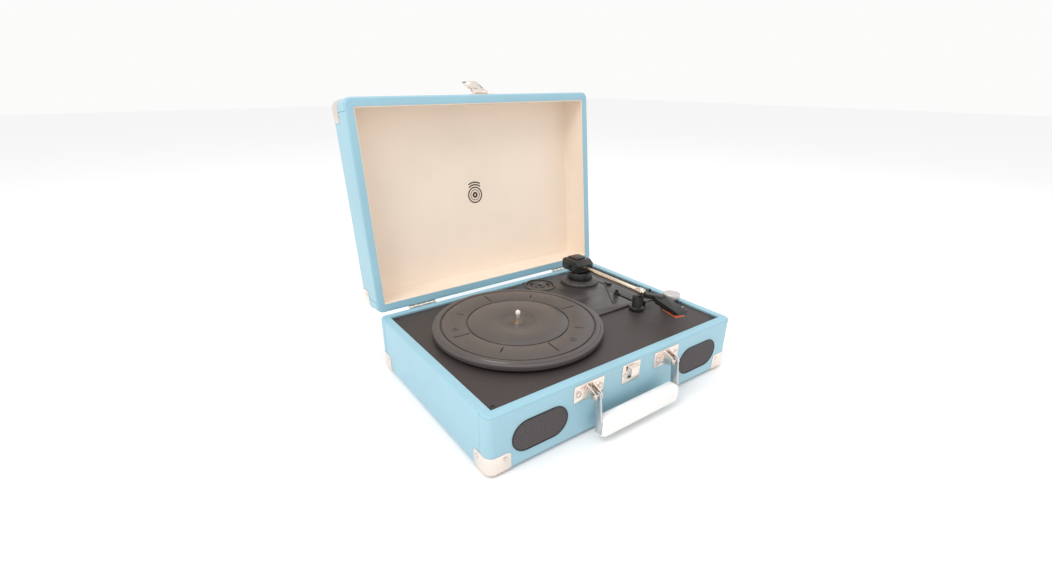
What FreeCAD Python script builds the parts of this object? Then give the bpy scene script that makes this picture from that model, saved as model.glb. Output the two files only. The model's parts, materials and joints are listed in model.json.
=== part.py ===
import FreeCAD, Part
import math
import os
import re

import Sketcher

# Portable suitcase record player with its lid open.
# Millimetres, +Z up, front towards -Y, hinges towards +Y, origin on the floor
# under the middle of the case.

SHEET = {
    # case
    "case_width": 355, "case_depth": 250, "foot_height": 3, "base_height": 66, "lid_height": 46,
    "parting_gap": 0.4, "rim_width": 9.8, "skin": 0.8, "corner_round": 8, "edge_round": 2,
    "lid_inner_depth": 42, "lid_open_angle": 97, "hinge_offset": 2, "hinge_barrel": 1.9,
    "hinge_pin_radius": 0.8, "hinge_length": 38, "hinge_place": 118, "leaf_height": 13,
    "leaf_gap": 0.4, "leaf_gauge": 0.9,
    "bottom_board": 6, "corner_cap": 0.7, "cap_reach": 25, "cap_height": 20.5, "cap_rounding": 5,
    # front
    "speaker_place": 118, "speaker_level": 34, "speaker_length": 67, "speaker_height": 35,
    "grille_border": 3, "bracket_place": 58, "bracket_level": 55, "bracket_width": 40,
    "bracket_height": 19, "plate_gauge": 1, "handle_pivot_out": 12.8, "handle_pivot_level": 54,
    "arm_gauge": 2, "arm_width": 9.5, "grip_depth": 16, "grip_height": 23.5,
    "grip_out": 17.5, "grip_level": 18.7, "keeper_width": 27, "keeper_height": 23, "keeper_level": 54.2,
    # deck
    "deck_top": 66.6, "deck_board": 3, "chassis_top": 69, "platter_x": -54, "platter_y": 3,
    "platter_radius": 100, "platter_top": 78, "platter_skirt": 70, "spindle_radius": 3.55,
    "spindle_top": 92, "bore_gap": 0.05, "drive_ring": 78, "pulley_radius": 4,
    "motor_reach": 88, "motor_bearing": 18, "motor_can": 16, "adapter_x": 48, "adapter_y": 92,
    "adapter_radius": 18.6, "screw_bore": 1.3, "rivet_bore": 1.2,
    # tonearm
    "arm_x": 106, "pivot_y": 73, "arm_level": 92, "tube_radius": 2.9, "rest_y": -39,
    "head_angle": 12, "head_x": 114, "head_y": -63, "volume_x": 148, "volume_y": -56, "volume_radius": 11,
    # lid latch
    "latch_x": 2, "latch_rest": -150, "latch_out": 3.4, "latch_up": 9, "loop_reach": 10.7,
    "loop_wire": 0.9,
    # rear panel and feet
    "rear_x": 95, "rear_width": 84, "rear_height": 30, "foot_x": 138, "foot_y": 88, "foot_radius": 7,
}

JACKS = ((66, 4.4), (86, 4.2), (104, 4.2), (123, 3.4))   # place along X and radius of each rear socket
BOSS_BEARINGS = (-72, 162)
MARK_BEARING = -4

doc = FreeCAD.newDocument("record_player")
dims = doc.addObject("Spreadsheet::Sheet", "dims")
for row, (alias, amount) in enumerate(SHEET.items(), start=1):
    dims.set("A%d" % row, str(amount))
    dims.setAlias("A%d" % row, alias)
doc.recompute()

ALIAS = re.compile(r"\b(%s)\b" % "|".join(SHEET))
NODES = []
RIVETS = []


# ---- small tools ----------------------------------------------------------------

def size(formula):
    """The number that a formula on the sheet's aliases gives."""
    return float(dims.evalExpression(str(formula)))


def bind(target, field, formula):
    """Tie a property to a formula on the sheet's aliases."""
    target.setExpression(field, ALIAS.sub(r"dims.\1", str(formula)))


def vector(x, y, z):
    return FreeCAD.Vector(size(x), size(y), size(z))


def put(target, x, y, z):
    for field, formula in zip("xyz", (x, y, z)):
        bind(target, "Placement.Base." + field, formula)


def node(name, target):
    """Name a finished sub-part."""
    target.Label = name
    NODES.append(target)
    return target


def box(low, high, name="block"):
    """Part::Box between two corners given as formulas."""
    made = doc.addObject("Part::Box", name)
    for field, a, b in zip(("Length", "Width", "Height"), low, high):
        bind(made, field, "(%s) - (%s)" % (b, a))
    put(made, *low)
    return made


TURNS = {
    "x": (FreeCAD.Vector(0, 1, 0), 90),
    "y": (FreeCAD.Vector(1, 0, 0), -90),
    "z": (FreeCAD.Vector(0, 0, 1), 0),
}


def rod(radius, length, at, axis="z", name="rod", tip=None):
    """Part::Cylinder, or Part::Cone where the tip radius differs, from a point along an axis."""
    kind = "Part::Cylinder" if tip is None else "Part::Cone"
    made = doc.addObject(kind, name)
    bind(made, "Radius" if tip is None else "Radius1", radius)
    if tip is not None:
        bind(made, "Radius2", tip)
    bind(made, "Height", length)
    made.Placement = FreeCAD.Placement(FreeCAD.Vector(), FreeCAD.Rotation(*TURNS[axis]))
    put(made, *at)
    return made


def fuse(*pieces):
    made = doc.addObject("Part::MultiFuse", "joined")
    made.Shapes = list(pieces)
    made.Refine = True
    return made


def cut(piece, *tools):
    made = doc.addObject("Part::Cut", "trimmed")
    made.Base = piece
    made.Tool = tools[0] if len(tools) == 1 else group(*tools)
    return made


def common(piece, tool):
    made = doc.addObject("Part::MultiCommon", "shared")
    made.Shapes = [piece, tool]
    return made


def group(*pieces):
    made = doc.addObject("Part::Compound", "group")
    made.Links = list(pieces)
    return made


def moved(piece, placement):
    """A piece held in a group of its own, which is moved as a whole."""
    holder = group(piece)
    holder.Placement = placement
    return holder


def turned_at(piece, x, y, z, angle, axis=(0, 0, 1)):
    """A piece that was drawn about the origin, turned and set at its place."""
    return moved(piece, FreeCAD.Placement(vector(x, y, z), FreeCAD.Rotation(FreeCAD.Vector(*axis), angle)))


def outline(body, role, corners, offset=0):
    """Closed sketch of straight lines, every corner tied to the sheet."""
    sketch = body.newObject("Sketcher::SketchObject", "outline")
    plane = next(part for part in body.Origin.OriginFeatures if part.Role == role)
    sketch.AttachmentSupport = [(plane, "")]
    sketch.MapMode = "FlatFace"
    bind(sketch, "AttachmentOffset.Base.z", offset)
    places = [FreeCAD.Vector(size(a), size(b), 0) for a, b in corners]
    last = len(places)
    for index, place in enumerate(places):
        sketch.addGeometry(Part.LineSegment(place, places[(index + 1) % last]), False)
    for index in range(last):
        sketch.addConstraint(Sketcher.Constraint("Coincident", index, 2, (index + 1) % last, 1))
    for index, corner in enumerate(corners):
        for kind, formula in zip(("DistanceX", "DistanceY"), corner):
            number = sketch.addConstraint(Sketcher.Constraint(kind, -1, 1, index, 1, size(formula)))
            bind(sketch, "Constraints[%d]" % number, formula)
    return sketch


def edges_where(shape, test):
    return ["Edge%d" % (n + 1) for n, edge in enumerate(shape.Edges) if test(edge)]


def soften(body, base, radius, test, kind="PartDesign::Fillet"):
    """Round or bevel the edges of a feature that pass a test."""
    doc.recompute()
    made = body.newObject(kind, "softened")
    made.Base = (base, edges_where(base.Shape, test))
    bind(made, "Radius" if kind.endswith("Fillet") else "Size", radius)
    body.Tip = made
    return made


def runs_along(direction):
    """Test for straight edges parallel to a direction."""
    def test(edge):
        return len(edge.Vertexes) == 2 and abs(edge.tangentAt(edge.FirstParameter).dot(direction)) > 0.999
    return test


PLANES = {
    "XY_Plane": FreeCAD.Vector(0, 0, 1),
    "XZ_Plane": FreeCAD.Vector(0, 1, 0),
    "YZ_Plane": FreeCAD.Vector(1, 0, 0),
}


def on_face(direction, levels):
    """Test for edges that lie flat at one of two levels along a direction."""
    def test(edge):
        first, last = edge.FirstParameter, edge.LastParameter
        places = [edge.valueAt(at).dot(direction) for at in (first, (first + last) / 2, last)]
        flat = max(places) - min(places) < 1e-4
        return flat and min(abs(abs(places[0]) - abs(level)) for level in levels) < 1e-4
    return test


def plate(corners, low, high, round_by=None, role="XY_Plane", rim=None):
    """Padded outline; on XZ_Plane its low and high are measured along -Y."""
    body = doc.addObject("PartDesign::Body", "plate")
    pad = body.newObject("PartDesign::Pad", "pad")
    pad.Profile = outline(body, role, corners, low)
    bind(pad, "Length", "(%s) - (%s)" % (high, low))
    last = pad
    if round_by is not None:
        last = soften(body, last, round_by, runs_along(PLANES[role]))
    if rim is not None:
        soften(body, last, rim, on_face(PLANES[role], (size(low), size(high))))
    doc.recompute()
    return body


def rectangle(width, height, middle=(0, 0)):
    """Corners of a rectangle about its middle."""
    x, y = middle
    return [("(%s) - (%s)/2" % (x, width), "(%s) - (%s)/2" % (y, height)),
            ("(%s) + (%s)/2" % (x, width), "(%s) - (%s)/2" % (y, height)),
            ("(%s) + (%s)/2" % (x, width), "(%s) + (%s)/2" % (y, height)),
            ("(%s) - (%s)/2" % (x, width), "(%s) + (%s)/2" % (y, height))]


def turned(profile, x, y, z=0):
    """Body of revolution about a vertical axis from a profile of radius and height."""
    body = doc.addObject("PartDesign::Body", "turned")
    sketch = outline(body, "XZ_Plane", profile)
    spin = body.newObject("PartDesign::Revolution", "spin")
    spin.Profile = sketch
    spin.ReferenceAxis = (sketch, ["V_Axis"])
    spin.Angle = 360
    put(body, x, y, z)
    return body


def stadium(x, z, length, height, front, back):
    """Slot-shaped prism that runs along Y."""
    reach = "((%s) - (%s))/2" % (length, height)
    middle = box(("(%s) - (%s)" % (x, reach), front, "(%s) - (%s)/2" % (z, height)),
                 ("(%s) + (%s)" % (x, reach), back, "(%s) + (%s)/2" % (z, height)))
    depth = "(%s) - (%s)" % (back, front)
    ends = [rod("(%s)/2" % height, depth, ("(%s) %s (%s)" % (x, sign, reach), front, z), "y")
            for sign in "+-"]
    return fuse(middle, *ends)


def opened(piece):
    """Turn a piece of the lid from shut to open about the hinge axis."""
    swing = FreeCAD.Rotation(FreeCAD.Vector(1, 0, 0), -size("lid_open_angle"))
    return moved(piece, FreeCAD.Placement(FreeCAD.Vector(), swing, vector(0, HINGE_Y, HINGE_Z)))


# ---- places that several sub-parts share ------------------------------------------

BASE_LOW = "foot_height"
BASE_TOP = "foot_height + base_height"
LID_LOW = "foot_height + base_height + parting_gap"
LID_TOP = LID_LOW + " + lid_height"
HALF_X = "case_width/2"
HALF_Y = "case_depth/2"
INNER_X = "(case_width/2 - rim_width)"
INNER_Y = "(case_depth/2 - rim_width)"
HINGE_Y = "case_depth/2 + hinge_offset"
HINGE_Z = "foot_height + base_height + parting_gap/2"
FRONT = "-case_depth/2"
BACK = "case_depth/2"
BOARD_LOW = "deck_top - deck_board"


def cavity(low, high, grow="0"):
    return box(("-%s - %s" % (INNER_X, grow), "-%s - %s" % (INNER_Y, grow), low),
               ("%s + %s" % (INNER_X, grow), "%s + %s" % (INNER_Y, grow), high))


def case_block(low, high, inset="0", corner="corner_round", edge="edge_round"):
    """Rounded block of the case, drawn in from its outside by an inset."""
    sides = rectangle("case_width - 2*(%s)" % inset, "case_depth - 2*(%s)" % inset)
    return plate(sides, low, high, corner, rim=edge)


def mirrored_places(x, y):
    return [("%s(%s)" % (sx, x), "%s(%s)" % (sy, y)) for sx in "-+" for sy in "-+"]


# ---- case -------------------------------------------------------------------------

def speaker_openings(shrink):
    length = "speaker_length - %s" % shrink
    height = "speaker_height - %s" % shrink
    return [stadium("%sspeaker_place" % side, "speaker_level", length, height, FRONT + " - 5", FRONT + " + 15")
            for side in "-+"]


def rear_opening(shrink):
    """Hole in the back wall, smaller all round than the socket panel that covers it."""
    reach = ("rear_width/2 - %s" % shrink, "rear_height/2 - %s" % shrink)
    return box(("rear_x - (%s)" % reach[0], BACK + " - 15", "speaker_level - (%s)" % reach[1]),
               ("rear_x + (%s)" % reach[0], BACK + " + 5", "speaker_level + (%s)" % reach[1]))


def corner_blocks(low):
    """Upright blocks in the corners that the deck screws go into."""
    return [box(("(%s) - 8" % x, "(%s) - 8" % y, low), ("(%s) + 8" % x, "(%s) + 8" % y, BOARD_LOW))
            for x, y in mirrored_places("%s - 7.9" % INNER_X, "%s - 7.9" % INNER_Y)]


def make_base_case():
    low = BASE_LOW + " + skin"
    high = BASE_TOP + " - skin"
    inner = ("skin", "corner_round - skin", "edge_round - skin")
    core = case_block(low, high, *inner)
    hollow = cut(core, cavity("0", "200"), *speaker_openings(6), rear_opening(2), *rivet_holes())
    node("base_carcass", cut(fuse(hollow, *corner_blocks(low)), *screw_holes()))

    outside = case_block(BASE_LOW, BASE_TOP)
    skin = cut(outside, case_block(low, high, *inner), cavity("foot_height + 10", "200"), *speaker_openings(6),
               rear_opening(2), *rivet_holes())
    node("base_covering", skin)
    board = box(("-" + INNER_X, "-" + INNER_Y, low), (INNER_X, INNER_Y, low + " + bottom_board"))
    node("bottom_panel", cut(board, *corner_blocks(low)))


DECK_SCREWS = mirrored_places("%s - 6.5" % INNER_X, "%s - 6" % INNER_Y)


def bracket_rivet_places():
    return [("%sbracket_place %s 14.6" % (side, sign), "bracket_level") for side in "-+" for sign in "-+"]


def rivet_holes():
    return [rod("rivet_bore", 12, (x, FRONT + " - 5", z), "y") for x, z in bracket_rivet_places()]


def screw_holes():
    return [rod("screw_bore", 14, (x, y, "deck_top - 12")) for x, y in DECK_SCREWS]


def deck_screw(x, y):
    """Domed screw with a cross recess."""
    head = rod(3, 0.9, (x, y, "deck_top"), tip=2.2)
    shank = rod("screw_bore", 10, (x, y, "deck_top - 10"))
    cross = []
    for long_x, long_y in ((1.6, 0.3), (0.3, 1.6)):
        cross.append(box(("(%s) - %g" % (x, long_x), "(%s) - %g" % (y, long_y), "deck_top + 0.4"),
                         ("(%s) + %g" % (x, long_x), "(%s) + %g" % (y, long_y), "deck_top + 2")))
    return cut(fuse(head, shank), *cross)


def make_deck():
    edge_x = INNER_X + " - 0.1"
    edge_y = INNER_Y + " - 0.1"
    board = box(("-(%s)" % edge_x, "-(%s)" % edge_y, BOARD_LOW), (edge_x, edge_y, "deck_top"))
    below = "deck_top - 10"
    above = "deck_top + 10"
    motor_x, motor_y = motor_place()
    holes = [rod(40, 20, ("platter_x", "platter_y", below)),
             rod("motor_can + 8", 20, (motor_x, motor_y, below)),
             rod(9, 20, ("arm_x", "pivot_y", below)),
             rod("adapter_radius + 2", 20, ("adapter_x", "adapter_y", below)),
             rod(3.55, 20, ("volume_x", "volume_y", below)),
             box((112, -22, below), (119, 14, above)),
             box((128, 34, below), (135, 50, above))]
    node("deck_board", cut(board, *holes, *screw_holes()))
    node("deck_screws", group(*[deck_screw(x, y) for x, y in DECK_SCREWS]))


def motor_place():
    return ("(platter_x + motor_reach*cos(motor_bearing))", "(platter_y + motor_reach*sin(motor_bearing))")


# ---- turntable --------------------------------------------------------------------

def make_chassis():
    """Moulded base of the mechanism: a round dish, and a wing that carries the tonearm and the controls."""
    dish = rod(93, "chassis_top - deck_top", ("platter_x", "platter_y", "deck_top"))
    wing = plate([(-54, -27), ("arm_x - 4", -27), (124, -30), (138, -18), (138, 62), (118, 98), (96, 110),
                  (66, 114.8), (34, 114.8), (22, 108), (-20, 90)], "deck_top", "chassis_top", 4)
    bearing = rod(8, 13.5, ("platter_x", "platter_y", "deck_top - 9"))
    cup = rod("adapter_radius + 1.8", 9, ("adapter_x", "adapter_y", "deck_top - 6.6"))
    collar = rod("adapter_radius + 3.4", 1.6, ("adapter_x", "adapter_y", "chassis_top"))
    motor_x, motor_y = motor_place()
    holes = [rod("spindle_radius", 40, ("platter_x", "platter_y", 40)),
             rod(6.5, 40, (motor_x, motor_y, 40)),
             rod("adapter_radius + 0.5", 20, ("adapter_x", "adapter_y", "deck_top - 5")),
             rod(9, 40, ("arm_x", "pivot_y", 40)),
             box((113.4, -20, 40), (117.6, 12, 90)),
             box((129.4, 36, 40), (133.6, 48, 90))]
    node("chassis_plate", cut(fuse(dish, wing, bearing, cup, collar), *holes))
    node("spindle", make_spindle())


def make_spindle():
    profile = [(0, 58), ("spindle_radius", 58), ("spindle_radius", "spindle_top - 3.4"),
               (2.6, "spindle_top - 1"), (1.4, "spindle_top"), (0, "spindle_top")]
    return turned(profile, "platter_x", "platter_y")


def platter_marks(top):
    """Eight radial strobe marks pressed into the disc, long and short in turn."""
    marks = []
    for step in range(8):
        start, length = (63, 20) if step % 2 == 0 else (67, 10)
        mark = box((start, -0.7, top + " - 0.8"), (start + length, 0.7, top + " + 1"))
        marks.append(turned_at(mark, "platter_x", "platter_y", 0, 45 * step + MARK_BEARING))
    return marks


def make_platter():
    top = "platter_top"
    under = top + " - 3.4"
    profile = [(7, 71.5), (12, 71.5), (12, under), ("drive_ring - 3", under), ("drive_ring - 3", 71),
               ("drive_ring", 71), ("drive_ring", under), (96.6, under), (96.6, "platter_skirt"),
               ("platter_radius - 1", "platter_skirt"), ("platter_radius", "platter_skirt + 1.2"),
               ("platter_radius", top + " - 3"), ("platter_radius - 1.2", top + " - 1.4"),
               ("platter_radius - 3", top + " - 1.1"), ("platter_radius - 3.6", top + " - 0.2"),
               ("platter_radius - 4.4", top), (91, top), (90.4, top + " - 0.8"), (89.6, top + " - 0.8"),
               (89, top + " - 0.3"), (60.4, top + " - 0.3"), (60, top + " - 1"), (59, top + " - 1"),
               (58.6, top + " - 0.3"), (22.6, top + " - 0.3"), (22, top + " - 0.9"), (20, top + " - 1.4"),
               (9, top + " - 1.6"), (8.6, top + " - 0.6"), (7, top + " - 0.6")]
    disc = turned(profile, "platter_x", "platter_y")
    bosses = []
    for angle in BOSS_BEARINGS:
        x = "(platter_x + 75*cos(%g))" % angle
        y = "(platter_y + 75*sin(%g))" % angle
        bosses.append(cut(rod(4, 1.1, (x, y, top + " - 0.8")), rod(1.8, 6, (x, y, top + " - 3.3"))))
    node("platter", fuse(cut(disc, *platter_marks(top)), *bosses))
    bush = [("spindle_radius + bore_gap", 71.5), (7, 71.5), (7, top + " - 0.6"), (6.4, top),
            ("spindle_radius + bore_gap", top)]
    node("platter_bush", turned(bush, "platter_x", "platter_y"))


def make_drive():
    motor_x, motor_y = motor_place()
    can = rod("motor_can", 22, (motor_x, motor_y, 38))
    neck = rod(5, 3, (motor_x, motor_y, 60))
    flange = rod("motor_can + 4", 1.5, (motor_x, motor_y, 58.5))
    shaft_bore = rod("1 + bore_gap", 40, (motor_x, motor_y, 45))
    node("motor", cut(fuse(can, neck, flange), shaft_bore))
    mounts = []
    for angle in (10, 130, 250):
        x = "(%s + 18*cos(%d))" % (motor_x, angle)
        y = "(%s + 18*sin(%d))" % (motor_y, angle)
        mounts.append(rod(3.2, "deck_top - 60", (x, y, 60)))
    node("motor_mounts", group(*mounts))
    pulley = [(0, 46), (1, 46), (1, 70), (5.2, 70), (5.2, 70.8), ("pulley_radius", 71.1),
              ("pulley_radius", 73.9), (5, 74), (5, 74.3), (0, 74.3)]
    node("motor_pulley", turned(pulley, motor_x, motor_y))
    node("drive_belt", belt())


def belt_loop(extra):
    """Outline of the belt at a distance outside the drive ring and the pulley."""
    reach = size("motor_reach")
    big = size("drive_ring") + extra
    small = size("pulley_radius") + extra
    lean = math.acos((big - small) / reach)
    across = math.cos(lean)
    up = math.sin(lean)
    on_ring = [FreeCAD.Vector(big * across, side * big * up, 0) for side in (1, -1)]
    on_pulley = [FreeCAD.Vector(reach + small * across, side * small * up, 0) for side in (1, -1)]
    return Part.Wire([Part.Arc(on_ring[0], FreeCAD.Vector(-big, 0, 0), on_ring[1]).toShape(),
                      Part.makeLine(on_ring[1], on_pulley[1]),
                      Part.Arc(on_pulley[1], FreeCAD.Vector(reach + small, 0, 0), on_pulley[0]).toShape(),
                      Part.makeLine(on_pulley[0], on_ring[0])])


def belt():
    """Flat belt round the platter's drive ring and the motor pulley."""
    gap, gauge = 0.3, 0.8
    height = FreeCAD.Vector(0, 0, 2.4)
    inner = Part.Face(belt_loop(gap)).extrude(height)
    made = doc.addObject("Part::Feature", "belt")
    made.Shape = Part.Face(belt_loop(gap + gauge)).extrude(height).cut(inner)
    bearing = FreeCAD.Rotation(FreeCAD.Vector(0, 0, 1), size("motor_bearing"))
    made.Placement = FreeCAD.Placement(vector("platter_x", "platter_y", 71.5), bearing)
    return made


def make_adapter():
    """Disc that fits the large hole of a single; it lies in its recess."""
    bore = "spindle_radius + 0.2"
    profile = [(bore, 0), (18.4, 0), ("adapter_radius", 1), ("adapter_radius", 6), (17.6, 7), (12, 7),
               (11, 5.4), (7, 5.4), (6.4, 7.4), (bore, 7.4)]
    node("single_adapter", turned(profile, "adapter_x", "adapter_y", "deck_top - 4.6"))


# ---- tonearm ----------------------------------------------------------------------

def make_tonearm():
    x, y = "arm_x", "pivot_y"
    bore = "5 + bore_gap"
    base = [(bore, "chassis_top - 9"), (8.6, "chassis_top - 9"), (8.6, "chassis_top"), (27, "chassis_top"),
            (27, "chassis_top + 2.4"), (25.6, "chassis_top + 3.6"), (19.5, "chassis_top + 4.4"),
            (19.5, "chassis_top + 5.4"), (bore, "chassis_top + 5.4")]
    node("tonearm_base", turned(base, x, y))
    make_turret(x, y)

    side = [("pivot_y - 13", 87), ("pivot_y + 18", 87), ("pivot_y + 21", 89), ("pivot_y + 21", 100),
            ("pivot_y + 18", 103), ("pivot_y - 6", 103), ("pivot_y - 13", 98)]
    block = plate(side, "arm_x - 16", "arm_x + 12", 1, role="YZ_Plane")
    slot = box(("arm_x - 4.6", "pivot_y - 6.5", 80), ("arm_x + 4.6", "pivot_y + 10", 97))
    tube_seat = rod("tube_radius", 30, ("arm_x", "pivot_y - 23", "arm_level"), "y")
    pin_seat = rod(1.5, 60, ("arm_x - 30", "pivot_y + 1", "arm_level"), "x")
    node("tonearm_rear_block", cut(block, slot, tube_seat, pin_seat))
    node("tonearm_pivot_pin", rod(1.5, 24, ("arm_x - 14", "pivot_y + 1", "arm_level"), "x"))

    bore = rod("tube_radius - 0.6", 200, ("arm_x", -60, "arm_level"), "y")
    tube = cut(rod("tube_radius", "pivot_y - 9 + 47", ("arm_x", -47, "arm_level"), "y"), bore)
    node("tonearm_tube", tube)
    front_ring = rod(4.6, 7, ("arm_x", -45, "arm_level"), "y")
    rear_ring = rod(3.8, 5, ("arm_x", -38, "arm_level"), "y")
    tube_space = rod("tube_radius", 60, ("arm_x", -60, "arm_level"), "y")
    node("headshell_collar", cut(fuse(front_ring, rear_ring), tube_space))
    make_headshell()


def make_turret(x, y):
    """Drum that turns on its shaft, with a post between the cheeks of the rear block."""
    low = "chassis_top + 5.8"
    drum = turned([(0, "chassis_top - 7"), (5, "chassis_top - 7"), (5, low), (18, low), (18, 84.2),
                   (17, 85.4), (0, 85.4)], x, y)
    slope = plate([("pivot_y + 2", 85.5), ("pivot_y + 30", 77), ("pivot_y + 30", 95), ("pivot_y + 2", 95)],
                  "arm_x - 25", "arm_x + 25", role="YZ_Plane")
    post = box(("arm_x - 4", "pivot_y - 4", 80), ("arm_x + 4", "pivot_y + 6", 95.5))
    pin_hole = rod("1.5 + bore_gap", 60, ("arm_x - 30", "pivot_y + 1", "arm_level"), "x")
    node("tonearm_turret", cut(fuse(cut(drum, slope), post), pin_hole))


def turned_head(piece):
    """Turn a piece of the head to the cartridge's offset angle about the neck."""
    return turned_at(piece, "head_x", "head_y", 0, -size("head_angle"))


def make_headshell():
    neck = plate([("arm_x - 3.6", -47.4), ("arm_x - 3.2", -53), ("arm_x + 2", -63), ("arm_x + 3", -70),
                  ("arm_x + 13", -70), ("arm_x + 13", -62), ("arm_x + 5", -54), ("arm_x + 3.6", -47.4)],
                 87.4, 93, 1)
    half = [(6, 3), (8.5, -5), (8.5, -14), (7.2, -44)]
    shell = plate([(-x, y) for x, y in half] + half[::-1], 84.6, 93, 1)
    slope = plate([(6, 94), (6, 92.8), (-46, 88), (-46, 94)], -20, 20, role="YZ_Plane")
    hollow = box((-6.1, -41.2, 80), (6.1, -9, 87.6))
    tab = box((7, -38, 85), (14, -34.5, 86.2))
    head = fuse(neck, turned_head(fuse(cut(shell, slope, hollow), tab)))
    socket = rod("tube_radius", 60, ("arm_x", -47.2, "arm_level"), "y")
    node("headshell", cut(head, socket))
    node("cartridge", turned_head(box((-6, -38, 82), (6, -12, 87.6))))
    carrier = fuse(box((-6, -39.6, 80.6), (6, -18, 82)), box((-6, -41, 80.6), (6, -38.2, 86)))
    tip = rod(1.2, 1.4, (0, -30, 79.4), tip=2)
    node("stylus", turned_head(fuse(carrier, tip)))


def make_rest():
    """Post that the arm lies on, with a clip that swings over the tube."""
    x, y = "(arm_x - 3)", "rest_y"
    stem = [(0, "chassis_top - 0.2"), (9.3, "chassis_top - 0.2"), (9.3, "chassis_top + 2"),
            (7.4, "chassis_top + 3"), (6.3, "chassis_top + 3"), (6.3, 86), (0, 86)]
    foot = rod(9.3, "chassis_top - deck_top", (x, y, "deck_top"))
    ear = box(("arm_x + 2.2", "rest_y - 3", 76), ("arm_x + 5.4", "rest_y + 3", 87.6))
    notch = rod(4.4, 30, ("arm_x", "rest_y - 15", 90), "y")
    lug = box(("arm_x + 4", "rest_y - 3", 84.6), ("arm_x + 8.6", "rest_y + 3", 88.6))
    gap = box(("arm_x + 5", "rest_y - 1.6", 84), ("arm_x + 12", "rest_y + 1.6", 92))
    pin_hole = rod("0.8 + bore_gap", 30, ("arm_x + 7", "rest_y - 15", 87), "y")
    cradle = cut(fuse(turned(stem, x, y), ear, foot), notch)
    node("rest_post", cut(fuse(cradle, lug), gap, pin_hole))
    knuckle = rod(1.7, 2.6, ("arm_x + 7", "rest_y - 1.3", 87), "y")
    hook = box(("arm_x + 7", "rest_y - 1.3", 86), ("arm_x + 20", "rest_y + 1.3", 87.6))
    tip = box(("arm_x + 18.6", "rest_y - 1.3", 86), ("arm_x + 20", "rest_y + 1.3", 90.4))
    pin = rod(0.8, 6, ("arm_x + 7", "rest_y - 3", 87), "y")
    node("rest_clip", fuse(knuckle, hook, tip, pin))


def make_controls():
    post = rod(2, 8.4, ("arm_x + 12", -38, "deck_top + 0.3"))
    blade = box(("arm_x + 12", -39.2, "chassis_top + 3"), ("arm_x + 26", -36.8, "chassis_top + 4.6"))
    paddle = rod(2.6, 1.6, ("arm_x + 26", -38, "chassis_top + 3"))
    node("cue_lever", fuse(post, blade, paddle))
    speed = fuse(box((113.8, 6.6, 60), (117.2, 10.4, "chassis_top + 0.3")),
                 box((112.6, 4.6, "chassis_top + 0.3"), (118.4, 11.6, "chassis_top + 1.8")),
                 rod(2.4, 5, (115.5, 8.1, "chassis_top + 1.8"), tip=2))
    node("speed_selector", speed)
    stop = fuse(box((130, 37.4, 60), (133, 41, "chassis_top + 0.3")),
                box((128.6, 36.4, "chassis_top + 0.3"), (134.4, 42, "chassis_top + 2.2")))
    node("auto_stop_tab", stop)
    make_volume()


def make_volume():
    """Volume pot under the deck and the knob on its shaft."""
    x, y = "volume_x", "volume_y"
    can = rod(8.4, 9, (x, y, "deck_top - 12"))
    bushing = rod(3.5, 8, (x, y, "deck_top - 3.2"))
    nut = rod(5, 1.8, (x, y, "deck_top"))
    node("volume_pot", cut(fuse(can, bushing, nut), rod(3, 20, (x, y, "deck_top - 8"))))
    low = "deck_top + 0.5"
    shaft = "3 - bore_gap"
    profile = [(5.4, low), ("volume_radius + 0.6", low), ("volume_radius + 0.6", low + " + 2.4"),
               ("volume_radius", low + " + 3"), ("volume_radius - 0.5", low + " + 17"),
               ("volume_radius - 1.5", low + " + 18"), (0, low + " + 18"), (0, "deck_top - 6"),
               (shaft, "deck_top - 6"), (shaft, low + " + 12"), (5.4, low + " + 12")]
    node("volume_knob", turned(profile, x, y))


# ---- sound ------------------------------------------------------------------------

def make_grille(x):
    """Slot-shaped bezel and slatted panel, with a sleeve that lines the opening in the wall."""
    def slot_shape(less, front, back):
        return stadium(x, "speaker_level", "speaker_length - %s" % less, "speaker_height - %s" % less,
                       FRONT + front, FRONT + back)

    flange = cut(slot_shape("0", " - 1.1", ""), slot_shape("2*grille_border", " - 5", " + 20"))
    slots = []
    for step in range(-4, 5):
        level = "speaker_level + %g" % (3 * step)
        half = 24 if abs(step) < 3 else 17
        slots.append(box(("(%s) - %g" % (x, half), FRONT + " - 4", level + " - 0.7"),
                         ("(%s) + %g" % (x, half), FRONT + " + 4", level + " + 0.7")))
    panel = cut(slot_shape("6.2", " - 0.4", " + 0.8"), *slots)
    sleeve = cut(slot_shape("6.2", " - 0.4", " + 9.6"), slot_shape("9", " - 1", " + 12"))
    bridge = cut(slot_shape("5.9", " - 0.4", ""), slot_shape("9", " - 1", " + 12"))
    return fuse(flange, bridge, panel, sleeve)


def make_speakers():
    back = FRONT + " + rim_width"
    for side, name in (("-", "left"), ("+", "right")):
        x = "%sspeaker_place" % side
        node("%s_grille" % name, make_grille(x))
        frame = stadium(x, "speaker_level", "speaker_length - 1", "speaker_height + 3", back, back + " + 2")
        basket = rod(17, 12, (x, back + " + 2", "speaker_level"), "y", tip=12)
        magnet = rod(15, 8, (x, back + " + 14", "speaker_level"), "y")
        dish = rod(16, 10, (x, back, "speaker_level"), "y", tip=6)
        node("%s_speaker" % name, cut(fuse(frame, basket, magnet), dish))


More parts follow.
